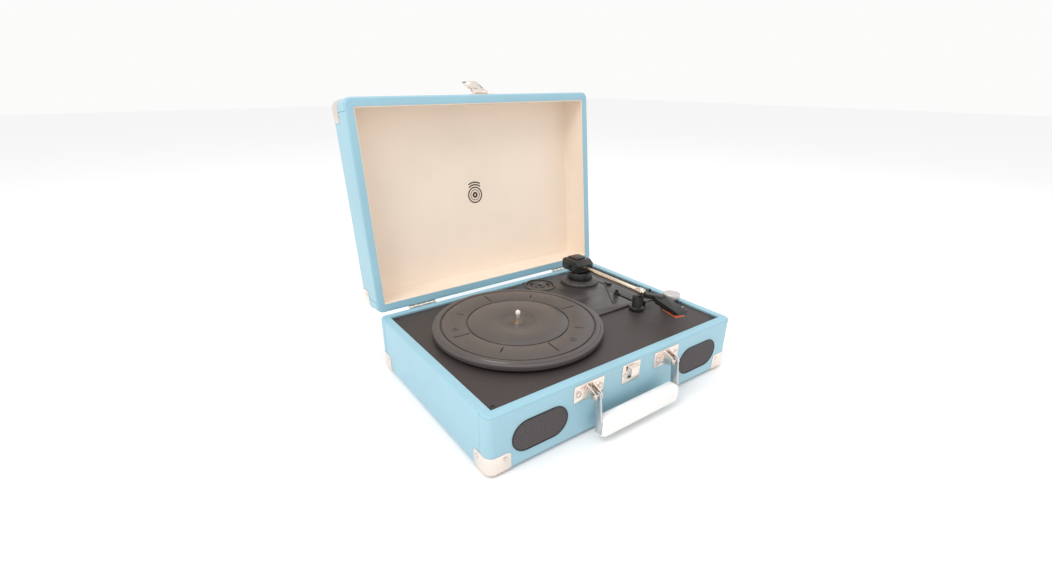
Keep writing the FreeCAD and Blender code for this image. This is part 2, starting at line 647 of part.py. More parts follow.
def make_electronics():
    low = BASE_LOW + " + skin + bottom_board"
    top = low + " + 7.6"
    board = box((58, 46, low + " + 6"), (132, 108, top))
    legs = [rod(2.5, 6, (x, y, low)) for x in (63, 127) for y in (51, 103)]
    chips = [box((70, 60, top), (84, 66, top + " + 2")), box((96, 56, top), (112, 60, top + " + 12.4")),
             rod(5, 12, (74, 80, top)), rod(5, 12, (88, 80, top)), rod(4, 9, (104, 78, top))]
    node("amplifier_board", fuse(board, *legs, *chips))
    panel = plate(rectangle("rear_width", "rear_height", ("rear_x", "speaker_level")), "-case_depth/2 - 1.6",
                  "-case_depth/2", 3, role="XZ_Plane")
    holes = [rod(radius, 20, (x, BACK + " - 10", "speaker_level"), "y") for x, radius in JACKS]
    node("rear_panel", cut(panel, *holes))
    power, left, right, headphone = [make_socket(x, radius - 0.05) for x, radius in JACKS]
    pin = rod(1, 11, (JACKS[0][0], BACK + " - 9", "speaker_level"), "y")
    node("dc_socket", fuse(cut(power, socket_bore(JACKS[0][0], 2.9)), pin))
    outs = []
    for socket, (x, radius) in ((left, JACKS[1]), (right, JACKS[2])):
        nose = rod(4.1, 8.5, (x, BACK + " + 1.6", "speaker_level"), "y")
        outs.append(cut(fuse(socket, nose), socket_bore(x, 1.7, 16)))
    node("signal_sockets", group(*outs, cut(headphone, socket_bore(JACKS[3][0], 1.8))))


def make_socket(x, radius):
    """Barrel through the rear panel with a collar outside it."""
    return fuse(rod(radius, 12, (x, BACK + " - 10.4", "speaker_level"), "y"),
                rod("%g + 1.1" % radius, 1.2, (x, BACK + " + 1.6", "speaker_level"), "y"))


def socket_bore(x, radius, length=10):
    return rod(radius, length, (x, BACK + " - 6", "speaker_level"), "y")


# ---- handle and latch -------------------------------------------------------------

PIVOT_Y = "-case_depth/2 - handle_pivot_out"


def handle_strip(x):
    """Flat side strip of the handle, from its pivot into the grip."""
    front = FRONT + " - grip_out - arm_width/2"
    back = FRONT + " - grip_out + arm_width/2"
    side = [(PIVOT_Y + " - arm_width/2", "handle_pivot_level"), (front, "grip_level + 3"),
            (front + " + 1", "grip_level - 6.5"), (back + " - 1", "grip_level - 6.5"),
            (back, "grip_level + 3"), (PIVOT_Y + " + arm_width/2", "handle_pivot_level")]
    return plate(side, "%s - arm_gauge/2" % x, "%s + arm_gauge/2" % x, role="YZ_Plane")


def pivot_rod(radius, reach, x):
    """Rod along the handle's pivot axis, its middle at a bracket."""
    return rod(radius, "2*(%s)" % reach, ("(%s) - (%s)" % (x, reach), PIVOT_Y, "handle_pivot_level"), "x")


def make_bracket(x):
    """Plate with two ears folded out to hold the pivot pin."""
    face = plate(rectangle("bracket_width", "bracket_height", (x, "bracket_level")), "case_depth/2",
                 "case_depth/2 + plate_gauge", 1.5, role="XZ_Plane")
    corners = [(FRONT, "bracket_level + 8.5"), (FRONT, "bracket_level - 8.5"),
               (PIVOT_Y + " - 2", "handle_pivot_level - 3.4"), (PIVOT_Y + " - 3.2", "handle_pivot_level"),
               (PIVOT_Y + " - 1", "handle_pivot_level + 3.4")]
    ears = [plate(corners, "%s %s" % (x, offset), "%s %s + 1.2" % (x, offset), role="YZ_Plane")
            for offset in ("-4.4", "+3.2")]
    return cut(fuse(face, *ears), pivot_rod(1.8, 20, x), *rivet_holes())


def make_handle():
    pins = []
    for side, name in (("-", "left"), ("+", "right")):
        x = "%sbracket_place" % side
        node("handle_bracket_" + name, make_bracket(x))
        pins.append(cut(pivot_rod(1.8, 5.4, x), pivot_rod(0.9, 6.4, x)))
        top_end = pivot_rod("arm_width/2", "arm_gauge/2", x)
        node("handle_arm_" + name, cut(fuse(top_end, handle_strip(x)), pivot_rod("1.8 + bore_gap", 10, x)))
    node("handle_pins", group(*pins))
    for x, z in bracket_rivet_places():
        head = rod(2.9, 1.2, (x, FRONT + " - plate_gauge - 1.2", z), "y", tip=3.9)
        shank = rod("rivet_bore", "6 + plate_gauge", (x, FRONT + " - plate_gauge", z), "y")
        RIVETS.append(fuse(head, shank))
    node("handle_grip", make_grip())


def make_grip():
    """Rounded bar with the two arms let flush into its ends."""
    middle = "case_depth/2 + grip_out"
    body = plate(rectangle("2*bracket_place + arm_gauge", "grip_height", (0, "grip_level")), middle + " - grip_depth/2",
                 middle + " + grip_depth/2", 8, role="XZ_Plane", rim=5)
    return cut(body, *[handle_strip("%sbracket_place" % side) for side in "-+"])


def make_keeper():
    """Plate on the front of the base with the hook that takes the latch's loop."""
    level = "keeper_level"
    face = plate(rectangle("keeper_width", "keeper_height", ("latch_x", level)), "case_depth/2",
                 "case_depth/2 + plate_gauge", 2.5, role="XZ_Plane")
    hook_left = "latch_x - 6"
    hook_right = "latch_x + 6"
    hook_out = FRONT + " - 6.6"
    roof = box((hook_left, hook_out, level + " + 7.4"), (hook_right, FRONT, level + " + 8.6"))
    lip = box((hook_left, hook_out, level + " + 3"), (hook_right, hook_out + " + 1.2", level + " + 8.6"))
    slot = box(("latch_x - 5", FRONT + " - 3", level + " - 7"),
               ("latch_x + 5", FRONT + " + 0.2", level + " - 3.5"))
    node("latch_keeper", cut(fuse(face, roof, lip), slot))
    for side in "-+":
        spot = ("latch_x %s 10" % side, FRONT + " - plate_gauge - 1", level + " - 1")
        RIVETS.append(rod(1.9, 1, spot, "y", tip=2.6))


LATCH_Y = FRONT + " - latch_out"
LATCH_Z = LID_LOW + " + latch_up"


def latch_piece(piece):
    """Set a latch piece at its pin, swung back over the lid, and open it with the lid."""
    return opened(turned_at(piece, "latch_x", LATCH_Y, LATCH_Z, size("latch_rest"), (1, 0, 0)))


def make_latch():
    """Draw latch on the front of the lid; its lever and loop are drawn hanging from the pin."""
    face = plate(rectangle(34, 22, ("latch_x", LATCH_Z + " + 4")), "case_depth/2",
                 "case_depth/2 + plate_gauge", 2.5, role="XZ_Plane")
    knuckles = [box(("latch_x + %d" % x, FRONT + " - 5", LATCH_Z + " - 2"),
                    ("latch_x + %d" % (x + 2), FRONT, LATCH_Z + " + 2.4")) for x in (-11, 9)]
    bore = rod(1.1, 60, ("latch_x - 30", LATCH_Y, LATCH_Z), "x")
    node("latch_plate", opened(cut(fuse(face, *knuckles), bore)))
    node("latch_pin", opened(rod(1.1, 23, ("latch_x - 11.5", LATCH_Y, LATCH_Z), "x")))

    half_width = 8.6
    side = [(-0.6, 0), (-0.6, -19), (2, -23.5), (3.2, -23), (0.6, -18.4), (0.6, 0)]
    strip = plate(side, -half_width, half_width, role="YZ_Plane")
    hub = rod(2, 2 * half_width, (-half_width, 0, 0), "x")
    seats = [box((x, -1.8, -8), (x + 2, 1.8, -4)) for x in (-half_width, half_width - 2)]
    holes = [rod("1.1 + bore_gap", 40, (-20, 0, 0), "x"), rod("loop_wire + bore_gap", 40, (-20, 0, -6), "x")]
    node("latch_lever", latch_piece(cut(fuse(strip, hub, *seats), *holes)))
    node("latch_loop", latch_piece(make_loop()))


def make_loop():
    """Closed wire link: a cross pin in the lever, two sides and a bar that hooks the keeper."""
    low, high = -30, -6
    bars = [rod("loop_wire", "2*loop_reach", ("-loop_reach", 0, z), "x") for z in (high, low)]
    sides = [rod("loop_wire", high - low, (x, 0, low)) for x in ("-loop_reach", "loop_reach")]
    corners = []
    for x in ("-loop_reach", "loop_reach"):
        for z in (low, high):
            ball = doc.addObject("Part::Sphere", "corner")
            bind(ball, "Radius", "loop_wire")
            put(ball, x, 0, z)
            corners.append(ball)
    return fuse(*bars, *sides, *corners)


# ---- fittings ---------------------------------------------------------------------

def corner_shell(low, high):
    """Thin metal skin all round one half of the case."""
    grown = case_block("(%s) - corner_cap" % low, "(%s) + corner_cap" % high, "-corner_cap",
                       "corner_round + corner_cap", "edge_round + corner_cap")
    return cut(grown, case_block(low, high))


def corner_cap(shell, level, sx, sy):
    """The part of the skin round one corner, the tips of its two ends rounded."""
    x, y = sx + "case_width/2", sy + "case_depth/2"
    across = plate(rectangle("2*cap_reach", "2*cap_height", (x, level)), "-case_depth", "case_depth",
                   "cap_rounding", role="XZ_Plane")
    along = plate(rectangle("2*cap_reach", "2*cap_height", (y, level)), "-case_width", "case_width",
                  "cap_rounding", role="YZ_Plane")
    flat = box(("%s - cap_reach" % x, "%s - cap_reach" % y, "%s - 1.5" % level),
               ("%s + cap_reach" % x, "%s + cap_reach" % y, "%s + 1.5" % level))
    quarter = rod("cap_reach*0.95", 6, (x, y, "%s - 3" % level))
    return cut(common(common(shell, across), along), cut(flat, quarter))


def cap_rivets(level, up, sx, sy):
    """One rivet near each end of a corner cap."""
    x, y = sx + "case_width/2", sy + "case_depth/2"
    z = "(%s) %s (cap_height - 5.4)" % (level, up)
    along_x = rod(2.7, 1, (0, 0, 0), "y", tip=1.6)
    along_y = rod(2.7, 1, (0, 0, 0), "x", tip=1.6)
    back = "-(cap_reach - 6.6)"
    out = "corner_cap"
    half_turn = {"+": 0, "-": 180}
    return [turned_at(along_x, "%s %s(%s)" % (x, sx, back), "%s %s%s" % (y, sy, out), z, half_turn[sy]),
            turned_at(along_y, "%s %s%s" % (x, sx, out), "%s %s(%s)" % (y, sy, back), z, half_turn[sx])]


def corner_set(low, high, level, up):
    """The four caps on the outer corners of one half of the case, and their rivets."""
    corners = [(sx, sy) for sx in "-+" for sy in "-+"]
    shell = corner_shell(low, high)
    caps = [corner_cap(shell, level, sx, sy) for sx, sy in corners]
    rivets = [rivet for sx, sy in corners for rivet in cap_rivets(level, up, sx, sy)]
    return caps, rivets


def make_fittings():
    caps, rivets = corner_set(BASE_LOW, BASE_TOP, BASE_LOW, "+")
    node("base_corner_caps", group(*caps))
    node("base_rivets", group(*RIVETS, *rivets))
    caps, rivets = corner_set(LID_LOW, LID_TOP, LID_TOP, "-")
    node("lid_corner_caps", opened(group(*caps)))
    node("lid_rivets", opened(group(*rivets)))
    places = mirrored_places("foot_x", "foot_y") + [("0", "0")]
    profile = [(0, 0), ("foot_radius - 1", 0), ("foot_radius", 1), ("foot_radius", "foot_height"),
               (0, "foot_height")]
    node("feet", group(*[turned(profile, x, y) for x, y in places]))


def hinge_leaf(x, own, others, sign, bore):
    """One leaf of a butt hinge with its own knuckles, cleared where the other leaf has its own."""
    step_length = "hinge_length/5"
    top, bottom = ("leaf_height", "leaf_gap") if sign == "+" else ("-leaf_gap", "-leaf_height")
    leaf = box((x, BACK, "%s + (%s)" % (HINGE_Z, bottom)),
               (x + " + hinge_length", BACK + " + leaf_gauge", "%s + (%s)" % (HINGE_Z, top)))
    knuckles = []
    for step in own:
        start = "%s + %d*%s + 0.15" % (x, step, step_length)
        end = "%s + %d*%s - 0.15" % (x, step + 1, step_length)
        knuckles.append(rod("hinge_barrel", "(%s) - (%s)" % (end, start), (start, HINGE_Y, HINGE_Z), "x"))
        near, far = ("0", "leaf_height/10") if sign == "+" else ("-leaf_height/10", "0")
        knuckles.append(box((start, BACK, "%s + (%s)" % (HINGE_Z, near)),
                            (end, BACK + " + leaf_gauge", "%s + (%s)" % (HINGE_Z, far))))
    clearances = [rod("hinge_barrel + 0.25", step_length + " + 0.3",
                      ("%s + %d*%s - 0.15" % (x, step, step_length), HINGE_Y, HINGE_Z), "x") for step in others]
    pin_bore = rod(bore, "2*hinge_length", (x + " - hinge_length/2", HINGE_Y, HINGE_Z), "x")
    return cut(fuse(leaf, *knuckles), pin_bore, *clearances)


def make_hinges():
    lower, upper, pins = [], [], []
    for side in "-+":
        x = "(%shinge_place - hinge_length/2)" % side
        pins.append(rod("hinge_pin_radius", "hinge_length", (x, HINGE_Y, HINGE_Z), "x"))
        lower.append(hinge_leaf(x, (0, 2, 4), (1, 3), "-", "hinge_pin_radius"))
        upper.append(hinge_leaf(x, (1, 3), (0, 2, 4), "+", "hinge_pin_radius + bore_gap"))
    node("hinge_base_leaves", group(*lower))
    node("hinge_pins", group(*pins))
    node("hinge_lid_leaves", opened(group(*upper)))


def make_lid():
    low = LID_LOW + " + skin"
    high = LID_TOP + " - skin"
    ceiling = LID_LOW + " + lid_inner_depth"
    inner = ("skin", "corner_round - skin", "edge_round - skin")
    core = case_block(low, high, *inner)
    node("lid_carcass", opened(cut(core, cavity("0", ceiling + " + skin", "skin"))))
    skin = cut(case_block(LID_LOW, LID_TOP), case_block(low, high, *inner), cavity("0", ceiling, "skin"))
    node("lid_covering", opened(skin))
    lining = cut(cavity(LID_LOW + " + 1.2", ceiling + " + skin", "skin"), cavity("0", ceiling))
    node("lid_lining", opened(lining))


def check_and_write():
    doc.recompute()
    for item in doc.Objects:
        if {"Invalid", "Error"} & set(item.State):
            raise SystemExit("failed: %s %s" % (item.Name, item.State))
    os.makedirs("parts", exist_ok=True)
    for item in NODES:
        shape = item.Shape
        if shape.isNull() or not shape.isValid() or not shape.Solids:
            raise SystemExit("bad shape: " + item.Label)
        shape.exportStep("parts/%s.step" % item.Label)
        print("%-22s solids %2d  volume %10.1f" % (item.Label, len(shape.Solids), shape.Volume))


make_base_case()
make_deck()
make_chassis()
make_platter()
make_drive()
make_adapter()
make_tonearm()
make_rest()
make_controls()
make_speakers()
make_electronics()
make_handle()
make_keeper()
make_latch()
make_fittings()
make_hinges()
make_lid()
check_and_write()
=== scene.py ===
import json
import math

import bmesh
import bpy
from mathutils import Euler, Matrix, Vector


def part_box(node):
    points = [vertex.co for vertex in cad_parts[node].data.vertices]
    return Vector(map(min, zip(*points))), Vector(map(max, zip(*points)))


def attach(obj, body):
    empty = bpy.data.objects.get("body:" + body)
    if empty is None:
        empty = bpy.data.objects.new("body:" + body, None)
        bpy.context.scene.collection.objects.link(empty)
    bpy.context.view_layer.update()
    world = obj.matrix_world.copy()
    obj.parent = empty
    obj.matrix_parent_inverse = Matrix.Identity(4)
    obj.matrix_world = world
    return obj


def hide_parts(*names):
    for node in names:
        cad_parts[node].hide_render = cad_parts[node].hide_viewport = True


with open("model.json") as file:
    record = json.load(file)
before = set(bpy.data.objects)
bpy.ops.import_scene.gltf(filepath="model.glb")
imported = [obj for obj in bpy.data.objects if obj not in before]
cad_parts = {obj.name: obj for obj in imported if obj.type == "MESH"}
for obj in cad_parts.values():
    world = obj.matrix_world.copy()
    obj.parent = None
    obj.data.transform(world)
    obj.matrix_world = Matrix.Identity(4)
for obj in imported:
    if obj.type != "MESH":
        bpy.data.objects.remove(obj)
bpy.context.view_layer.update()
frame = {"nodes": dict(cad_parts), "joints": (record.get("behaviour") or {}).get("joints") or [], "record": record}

MM = 0.001
JOINTS = {joint["name"]: joint for joint in frame["joints"]}


# ---- shader maths ---------------------------------------------------------------

# Pointiness of flat ground, and how far above it an edge is fully worn.
EVEN = 0.5
WORN_SPREAD = 0.5 / 6


class Wire:
    """A shader socket whose arithmetic adds Math nodes."""

    def __init__(self, finish, socket):
        self.finish = finish
        self.socket = socket

    def maths(self, operation, *values):
        return self.finish.node("ShaderNodeMath", {"operation": operation}, list(values))

    def __add__(self, other):
        return self.maths("ADD", self, other)

    def __rsub__(self, other):
        return self.maths("SUBTRACT", other, self)

    def __mul__(self, other):
        return self.maths("MULTIPLY", self, other)

    __radd__ = __add__
    __rmul__ = __mul__


class Finish:
    """One material: its constants go on the shader, what varies is wired in."""

    def __init__(self, name, color, roughness, **constants):
        self.material = bpy.data.materials.new(name)
        self.material.use_nodes = True
        self.tree = self.material.node_tree
        self.shader = self.tree.nodes["Principled BSDF"]
        self.color = (*color, 1.0)
        self.set("Base Color", self.color)
        self.set("Roughness", roughness)
        for socket, value in constants.items():
            self.set(socket.replace("_", " "), value)

    def set(self, name, value):
        socket = self.shader.inputs[name]
        if isinstance(value, Wire):
            self.tree.links.new(value.socket, socket)
        else:
            socket.default_value = value

    def node(self, kind, settings, inputs, out=0):
        """Any node: its settings first, then its sockets by name or number."""
        made = self.tree.nodes.new(kind)
        for setting, value in settings.items():
            if setting == "stops":
                self.fill_ramp(made.color_ramp, value)
            else:
                setattr(made, setting, value)
        pairs = inputs.items() if isinstance(inputs, dict) else enumerate(inputs)
        for key, value in pairs:
            if isinstance(value, Wire):
                self.tree.links.new(value.socket, made.inputs[key])
            else:
                made.inputs[key].default_value = value
        return Wire(self, made.outputs[out])

    def fill_ramp(self, ramp, stops):
        while len(ramp.elements) < len(stops):
            ramp.elements.new(1.0)
        for element, (position, value) in zip(ramp.elements, stops):
            element.position = position
            element.color = (value, value, value, 1.0)

    def place(self, stretch=(1, 1, 1)):
        spot = self.node("ShaderNodeTexCoord", {}, {}, "Object")
        if stretch == (1, 1, 1):
            return spot
        return self.node("ShaderNodeMapping", {}, {"Vector": spot, "Scale": stretch})

    def noise(self, scale, detail, stretch=(1, 1, 1)):
        return self.node("ShaderNodeTexNoise", {}, {"Vector": self.place(stretch), "Scale": scale,
                                                    "Detail": detail, "Roughness": 0.5})

    def cells(self, scale, feature="F1"):
        return self.node("ShaderNodeTexVoronoi", {"feature": feature},
                         {"Vector": self.place(), "Scale": scale}, "Distance")

    def ramp(self, value, *stops):
        return self.node("ShaderNodeValToRGB", {"stops": stops}, {"Fac": value})

    def blend(self, factor, first, second):
        """Mix of two colours; the node's colour sockets are reached by number."""
        wide = [c if isinstance(c, Wire) else (*c, 1.0) for c in (first, second)]
        return self.node("ShaderNodeMix", {"data_type": "RGBA", "blend_type": "MIX"},
                         {0: factor, 6: wide[0], 7: wide[1]}, 2)

    def relief(self, height, depth, strength):
        """Bump of a depth in metres."""
        bump = self.node("ShaderNodeBump", {}, {"Height": height, "Distance": depth, "Strength": strength})
        self.set("Normal", bump)

    def worn(self, amount):
        """Mask of the raised edges of a piece."""
        edge = self.node("ShaderNodeNewGeometry", {}, {}, "Pointiness")
        return self.ramp(edge, (EVEN, 0.0), (EVEN + WORN_SPREAD, 1.0)) * amount


def tint(color, factor):
    return tuple(min(1.0, c * factor) for c in color)


# ---- finishes -------------------------------------------------------------------

def leatherette():
    blue = (0.29, 0.505, 0.605)
    made = Finish("turquoise_leatherette", blue, 0.42, Specular_IOR_Level=0.42)
    pebbles = made.ramp(made.cells(950.0, "SMOOTH_F1"), (0.0, 1.0), (0.75, 0.0))
    pores = made.noise(2600.0, 3.0)
    cloud = made.noise(9.0, 3.0)
    shade = made.blend(made.ramp(cloud, (0.35, 0.0), (0.65, 1.0)), tint(blue, 0.955), tint(blue, 1.045))
    shade = made.blend((1 - pebbles) * 0.16, shade, tint(blue, 0.70))
    made.set("Base Color", made.blend(made.worn(0.22), shade, (0.52, 0.73, 0.79)))
    made.set("Roughness", 0.37 + 0.10 * made.noise(260.0, 2.0) + 0.05 * cloud)
    made.relief(pebbles * 0.8 + pores * 0.35 + made.noise(22.0, 2.0) * 1.2, 0.00022, 0.55)
    return made


def lining_cloth():
    cream = (0.86, 0.735, 0.615)
    made = Finish("cream_lining", cream, 0.86, Sheen_Weight=0.12, Specular_IOR_Level=0.25)
    fibres = (made.noise(900.0, 3.0, (1.0, 0.25, 0.25)) * 0.5
              + made.noise(900.0, 3.0, (0.2, 1.0, 1.0)) * 0.5)
    mottle = made.ramp(made.noise(14.0, 4.0), (0.3, 0.0), (0.7, 1.0))
    made.set("Base Color", made.blend(mottle, made.blend(fibres * 0.35, cream, tint(cream, 0.86)),
                                      tint(cream, 1.03)))
    made.set("Roughness", 0.78 + 0.12 * fibres)
    made.relief(fibres + made.noise(35.0, 2.0) * 2.2, 0.00016, 0.5)
    return made


def moulded(name, grey, roughness, grain=1800.0, depth=0.00004, warm=1.0, coat=0.0):
    """Moulded plastic with a fine spark-eroded texture and faint scuffs."""
    base = (grey * 1.06 * warm, grey, grey * 0.965)
    made = Finish(name, base, roughness, Coat_Weight=coat)
    speck = made.noise(grain, 2.0)
    haze = made.ramp(made.noise(18.0, 5.0), (0.35, 0.0), (0.75, 1.0))
    shade = made.blend(haze * 0.5, base, tint(base, 1.22))
    made.set("Base Color", made.blend(made.worn(0.30), shade, tint(base, 1.9)))
    made.set("Roughness", roughness - 0.05 + 0.10 * haze + 0.06 * speck)
    made.relief(speck + made.cells(grain * 0.6) * 0.5, depth, 0.7)
    return made


def deck_paint():
    base = (0.046, 0.037, 0.036)
    made = Finish("satin_black_board", base, 0.42, Specular_IOR_Level=0.35)
    grain = made.noise(1500.0, 2.0)
    haze = made.ramp(made.noise(7.0, 5.0), (0.3, 0.0), (0.75, 1.0))
    specks = made.ramp(made.cells(240.0), (0.0, 1.0), (0.055, 0.0))
    dust = specks * made.ramp(made.noise(30.0, 2.0), (0.55, 0.0), (0.7, 1.0))
    shade = made.blend(haze * 0.6, base, tint(base, 1.25))
    made.set("Base Color", made.blend(dust * 0.5, shade, (0.20, 0.18, 0.17)))
    made.set("Roughness", 0.38 + 0.10 * haze + 0.06 * grain)
    made.relief(grain + made.noise(240.0, 3.0) * 0.8, 0.00007, 0.6)
    return made


def plated(name, color, roughness, smear=0.16):
    """Polished plating with smears and fine wipe marks."""
    made = Finish(name, color, roughness, Metallic=1.0)
    wipe = made.noise(60.0, 3.0, (1.0, 0.3, 1.0))
    smudge = made.ramp(made.noise(55.0, 4.0), (0.42, 0.0), (0.72, 1.0))
    # The hollows of a piece are made darker, browner and rougher.
    edge = made.node("ShaderNodeNewGeometry", {}, {}, "Pointiness")
    hollow = made.ramp(edge, (0.40, 1.0), (0.488, 0.0))
    clean = made.blend(smudge * 0.35, color, tint(color, 0.84))
    made.set("Base Color", made.blend(hollow * 0.85, clean, (0.10, 0.065, 0.045)))
    made.set("Roughness", roughness + smear * smudge + 0.05 * wipe + 0.3 * hollow)
    made.relief(wipe, 0.00003, 0.12)
    return made


def drawn_metal(name, color, roughness, along):
    """Metal with a drawn or turned grain along one direction."""
    made = Finish(name, color, roughness, Metallic=1.0)
    stretch = tuple(0.05 if axis in along else 1.0 for axis in "XYZ")
    lines = made.noise(2400.0, 3.0, stretch)
    made.set("Base Color", made.blend(lines * 0.5, tint(color, 0.86), tint(color, 1.06)))
    made.set("Roughness", roughness + 0.14 * lines)
    made.relief(lines, 0.00003, 0.5)
    return made


def grip_plastic():
    white = (0.86, 0.85, 0.835)
    made = Finish("white_grip_plastic", white, 0.30, Coat_Weight=0.25, Coat_Roughness=0.12)
    cloud = made.noise(30.0, 3.0)
    pale = made.ramp(cloud, (0.35, 0.0), (0.7, 1.0))
    made.set("Base Color", made.blend(pale, tint(white, 0.97), tint(white, 1.03)))
    made.set("Roughness", 0.26 + 0.09 * made.noise(500.0, 2.0))
    made.relief(made.noise(700.0, 2.0) + cloud * 3.0, 0.00005, 0.5)
    return made


def rubbery(name, base, roughness=0.8):
    made = Finish(name, base, roughness, Specular_IOR_Level=0.3)
    speck = made.noise(1300.0, 3.0)
    made.set("Base Color", made.blend(speck * 0.6, base, tint(base, 1.7)))
    made.set("Roughness", roughness - 0.1 + 0.18 * speck)
    made.relief(speck, 0.00006, 0.6)
    return made


def red_plastic():
    red = (0.85, 0.115, 0.03)
    made = Finish("red_stylus_plastic", red, 0.3, Coat_Weight=0.2, Subsurface_Weight=0.15,
                  Subsurface_Scale=0.002)
    cloud = made.noise(160.0, 2.0)
    made.set("Base Color", made.blend(cloud, (0.90, 0.17, 0.035), (0.74, 0.07, 0.03)))
    made.set("Roughness", 0.25 + 0.12 * made.noise(900.0, 2.0))
    made.relief(cloud, 0.00003, 0.4)
    return made


def fibreboard():
    brown = (0.42, 0.29, 0.175)
    made = Finish("fibreboard", brown, 0.85)
    fibres = made.noise(700.0, 4.0, (0.4, 1.0, 1.0))
    made.set("Base Color", made.blend(fibres, tint(brown, 0.7), tint(brown, 1.25)))
    made.set("Roughness", 0.8 + 0.1 * fibres)
    made.relief(fibres, 0.0001, 0.6)
    return made


def circuit_board():
    green = (0.02, 0.13, 0.05)
    made = Finish("circuit_board", green, 0.4, Coat_Weight=0.2)
    tracks = made.node("ShaderNodeTexBrick", {},
                       {"Vector": made.place(), "Scale": 160.0, "Mortar Size": 0.03,
                        "Color1": (0, 0, 0, 1), "Color2": (0.25, 0.25, 0.25, 1),
                        "Mortar": (1, 1, 1, 1)}, "Fac")
    made.set("Base Color", made.blend(tracks * 0.6, green, (0.06, 0.30, 0.12)))
    made.set("Roughness", 0.35 + 0.15 * made.noise(600.0, 2.0))
    made.relief(tracks, 0.00004, 0.5)
    return made


def ink(name, color):
    made = Finish(name, color, 0.6)
    patch = made.noise(1400.0, 3.0)
    made.set("Base Color", made.blend(patch, tint(color, 0.8), tint(color, 1.25)))
    made.set("Roughness", 0.5 + 0.2 * patch)
    made.relief(patch, 0.00002, 0.4)
    return made


def grille_cloth():
    black = (0.085, 0.072, 0.075)
    made = Finish("grille_black", black, 0.55)
    speck = made.noise(1500.0, 2.0)
    made.set("Base Color", made.blend(speck, tint(black, 0.7), tint(black, 1.7)))
    made.set("Roughness", 0.48 + 0.2 * speck)
    made.relief(speck, 0.00006, 0.6)
    return made


FINISH = {
    "leatherette": leatherette(),
    "lining": lining_cloth(),
    "board": fibreboard(),
    "deck_black": deck_paint(),
    "chassis_black": moulded("chassis_plastic", 0.040, 0.34, 1500.0, warm=1.06),
    "platter_black": moulded("platter_plastic", 0.054, 0.36, 1300.0, warm=1.12, coat=0.12),
    "dark_plastic": moulded("black_plastic", 0.011, 0.30, 1900.0),
    "nickel": plated("bright_nickel", (0.85, 0.755, 0.69), 0.17, 0.10),
    "brass": plated("dark_bronze", (0.22, 0.16, 0.11), 0.30),
    "tube_metal": drawn_metal("champagne_tube", (0.95, 0.85, 0.70), 0.2, "Y"),
    "knob_silver": drawn_metal("silver_knob", (0.74, 0.71, 0.70), 0.40, "Z"),
    "grip_white": grip_plastic(),
    "rubber": rubbery("black_rubber", (0.022, 0.022, 0.022)),
    "stylus_red": red_plastic(),
    "motor_steel": drawn_metal("zinc_steel", (0.60, 0.61, 0.62), 0.34, "Z"),
    "circuit_green": circuit_board(),
    "arm_steel": drawn_metal("satin_steel", (0.66, 0.67, 0.68), 0.30, "Z"),
    "grille": grille_cloth(),
    "emblem_ink": ink("emblem_ink", (0.055, 0.036, 0.03)),
    "mark_ink": ink("white_mark_ink", (0.78, 0.77, 0.75)),
}


# ---- modelling tools --------------------------------------------------------------

def take(*pieces):
    """Make these the only selected pieces, the first of them active."""
    bpy.ops.object.select_all(action="DESELECT")
    for piece in pieces:
        piece.select_set(True)
    bpy.context.view_layer.objects.active = pieces[0]


def fresh(name):
    made = bpy.context.active_object
    made.name = name
    made.data.name = name
    return made


def settle(piece):
    """Put a piece's place into its mesh."""
    take(piece)
    bpy.ops.object.transform_apply(location=True, rotation=True, scale=True)
    return piece


def cube(name, low, high):
    low, high = Vector(low), Vector(high)
    bpy.ops.object.select_all(action="DESELECT")
    bpy.ops.mesh.primitive_cube_add(size=1, location=(low + high) / 2)
    made = fresh(name)
    made.scale = high - low
    return settle(made)


AXES = {"X": (0, math.pi / 2, 0), "Y": (-math.pi / 2, 0, 0), "Z": (0, 0, 0)}


def drum(name, radius, start, length, axis="Z", sides=48, tip=None):
    """Round bar from a point along an axis, tapered where a tip radius is given."""
    along = Vector([length / 2 if letter == axis else 0 for letter in "XYZ"])
    bpy.ops.object.select_all(action="DESELECT")
    bpy.ops.mesh.primitive_cone_add(vertices=sides, radius1=radius,
                                    radius2=radius if tip is None else tip, depth=length,
                                    location=Vector(start) + along, rotation=AXES[axis])
    return settle(fresh(name))


def editing(piece):
    take(piece)
    bpy.ops.object.mode_set(mode="EDIT")


def done():
    bpy.ops.object.mode_set(mode="OBJECT")


def extend(step):
    """Extrude what is selected by a step."""
    bpy.ops.mesh.extrude_region_move(TRANSFORM_OT_translate={"value": step, "orient_type": "GLOBAL"})


KINDS = {"faces": "FACE", "edges": "EDGE"}
NEAR = 1e-6


def pick(piece, kind, test):
    """In edit mode, select what passes a test, and nothing else."""
    bpy.ops.mesh.select_mode(type=KINDS[kind])
    bpy.ops.mesh.select_all(action="DESELECT")
    mesh = bmesh.from_edit_mesh(piece.data)
    for item in getattr(mesh, kind):
        if test(item):
            item.select_set(True)
    mesh.select_flush_mode()
    bmesh.update_edit_mesh(piece.data)


def bevel_edges(piece, test, width, segments=4):
    editing(piece)
    pick(piece, "edges", test)
    bpy.ops.mesh.bevel(offset=width, segments=segments, profile=0.5, affect="EDGES",
                       clamp_overlap=False)
    done()
    return piece


def runs(edge, axis):
    """Whether an edge is parallel to an axis."""
    step = (edge.verts[1].co - edge.verts[0].co).normalized()
    return abs(step["XYZ".index(axis)]) > 0.999


def level(edge, place, axis="Z"):
    """Whether both ends of an edge lie at a place along an axis."""
    number = "XYZ".index(axis)
    return all(abs(vert.co[number] - place) < NEAR for vert in edge.verts)


def modifier(piece, kind, **settings):
    """Add a modifier and apply it."""
    take(piece)
    made = piece.modifiers.new(kind.lower(), kind)
    for setting, value in settings.items():
        setattr(made, setting, value)
    bpy.ops.object.modifier_apply(modifier=made.name)
    return piece


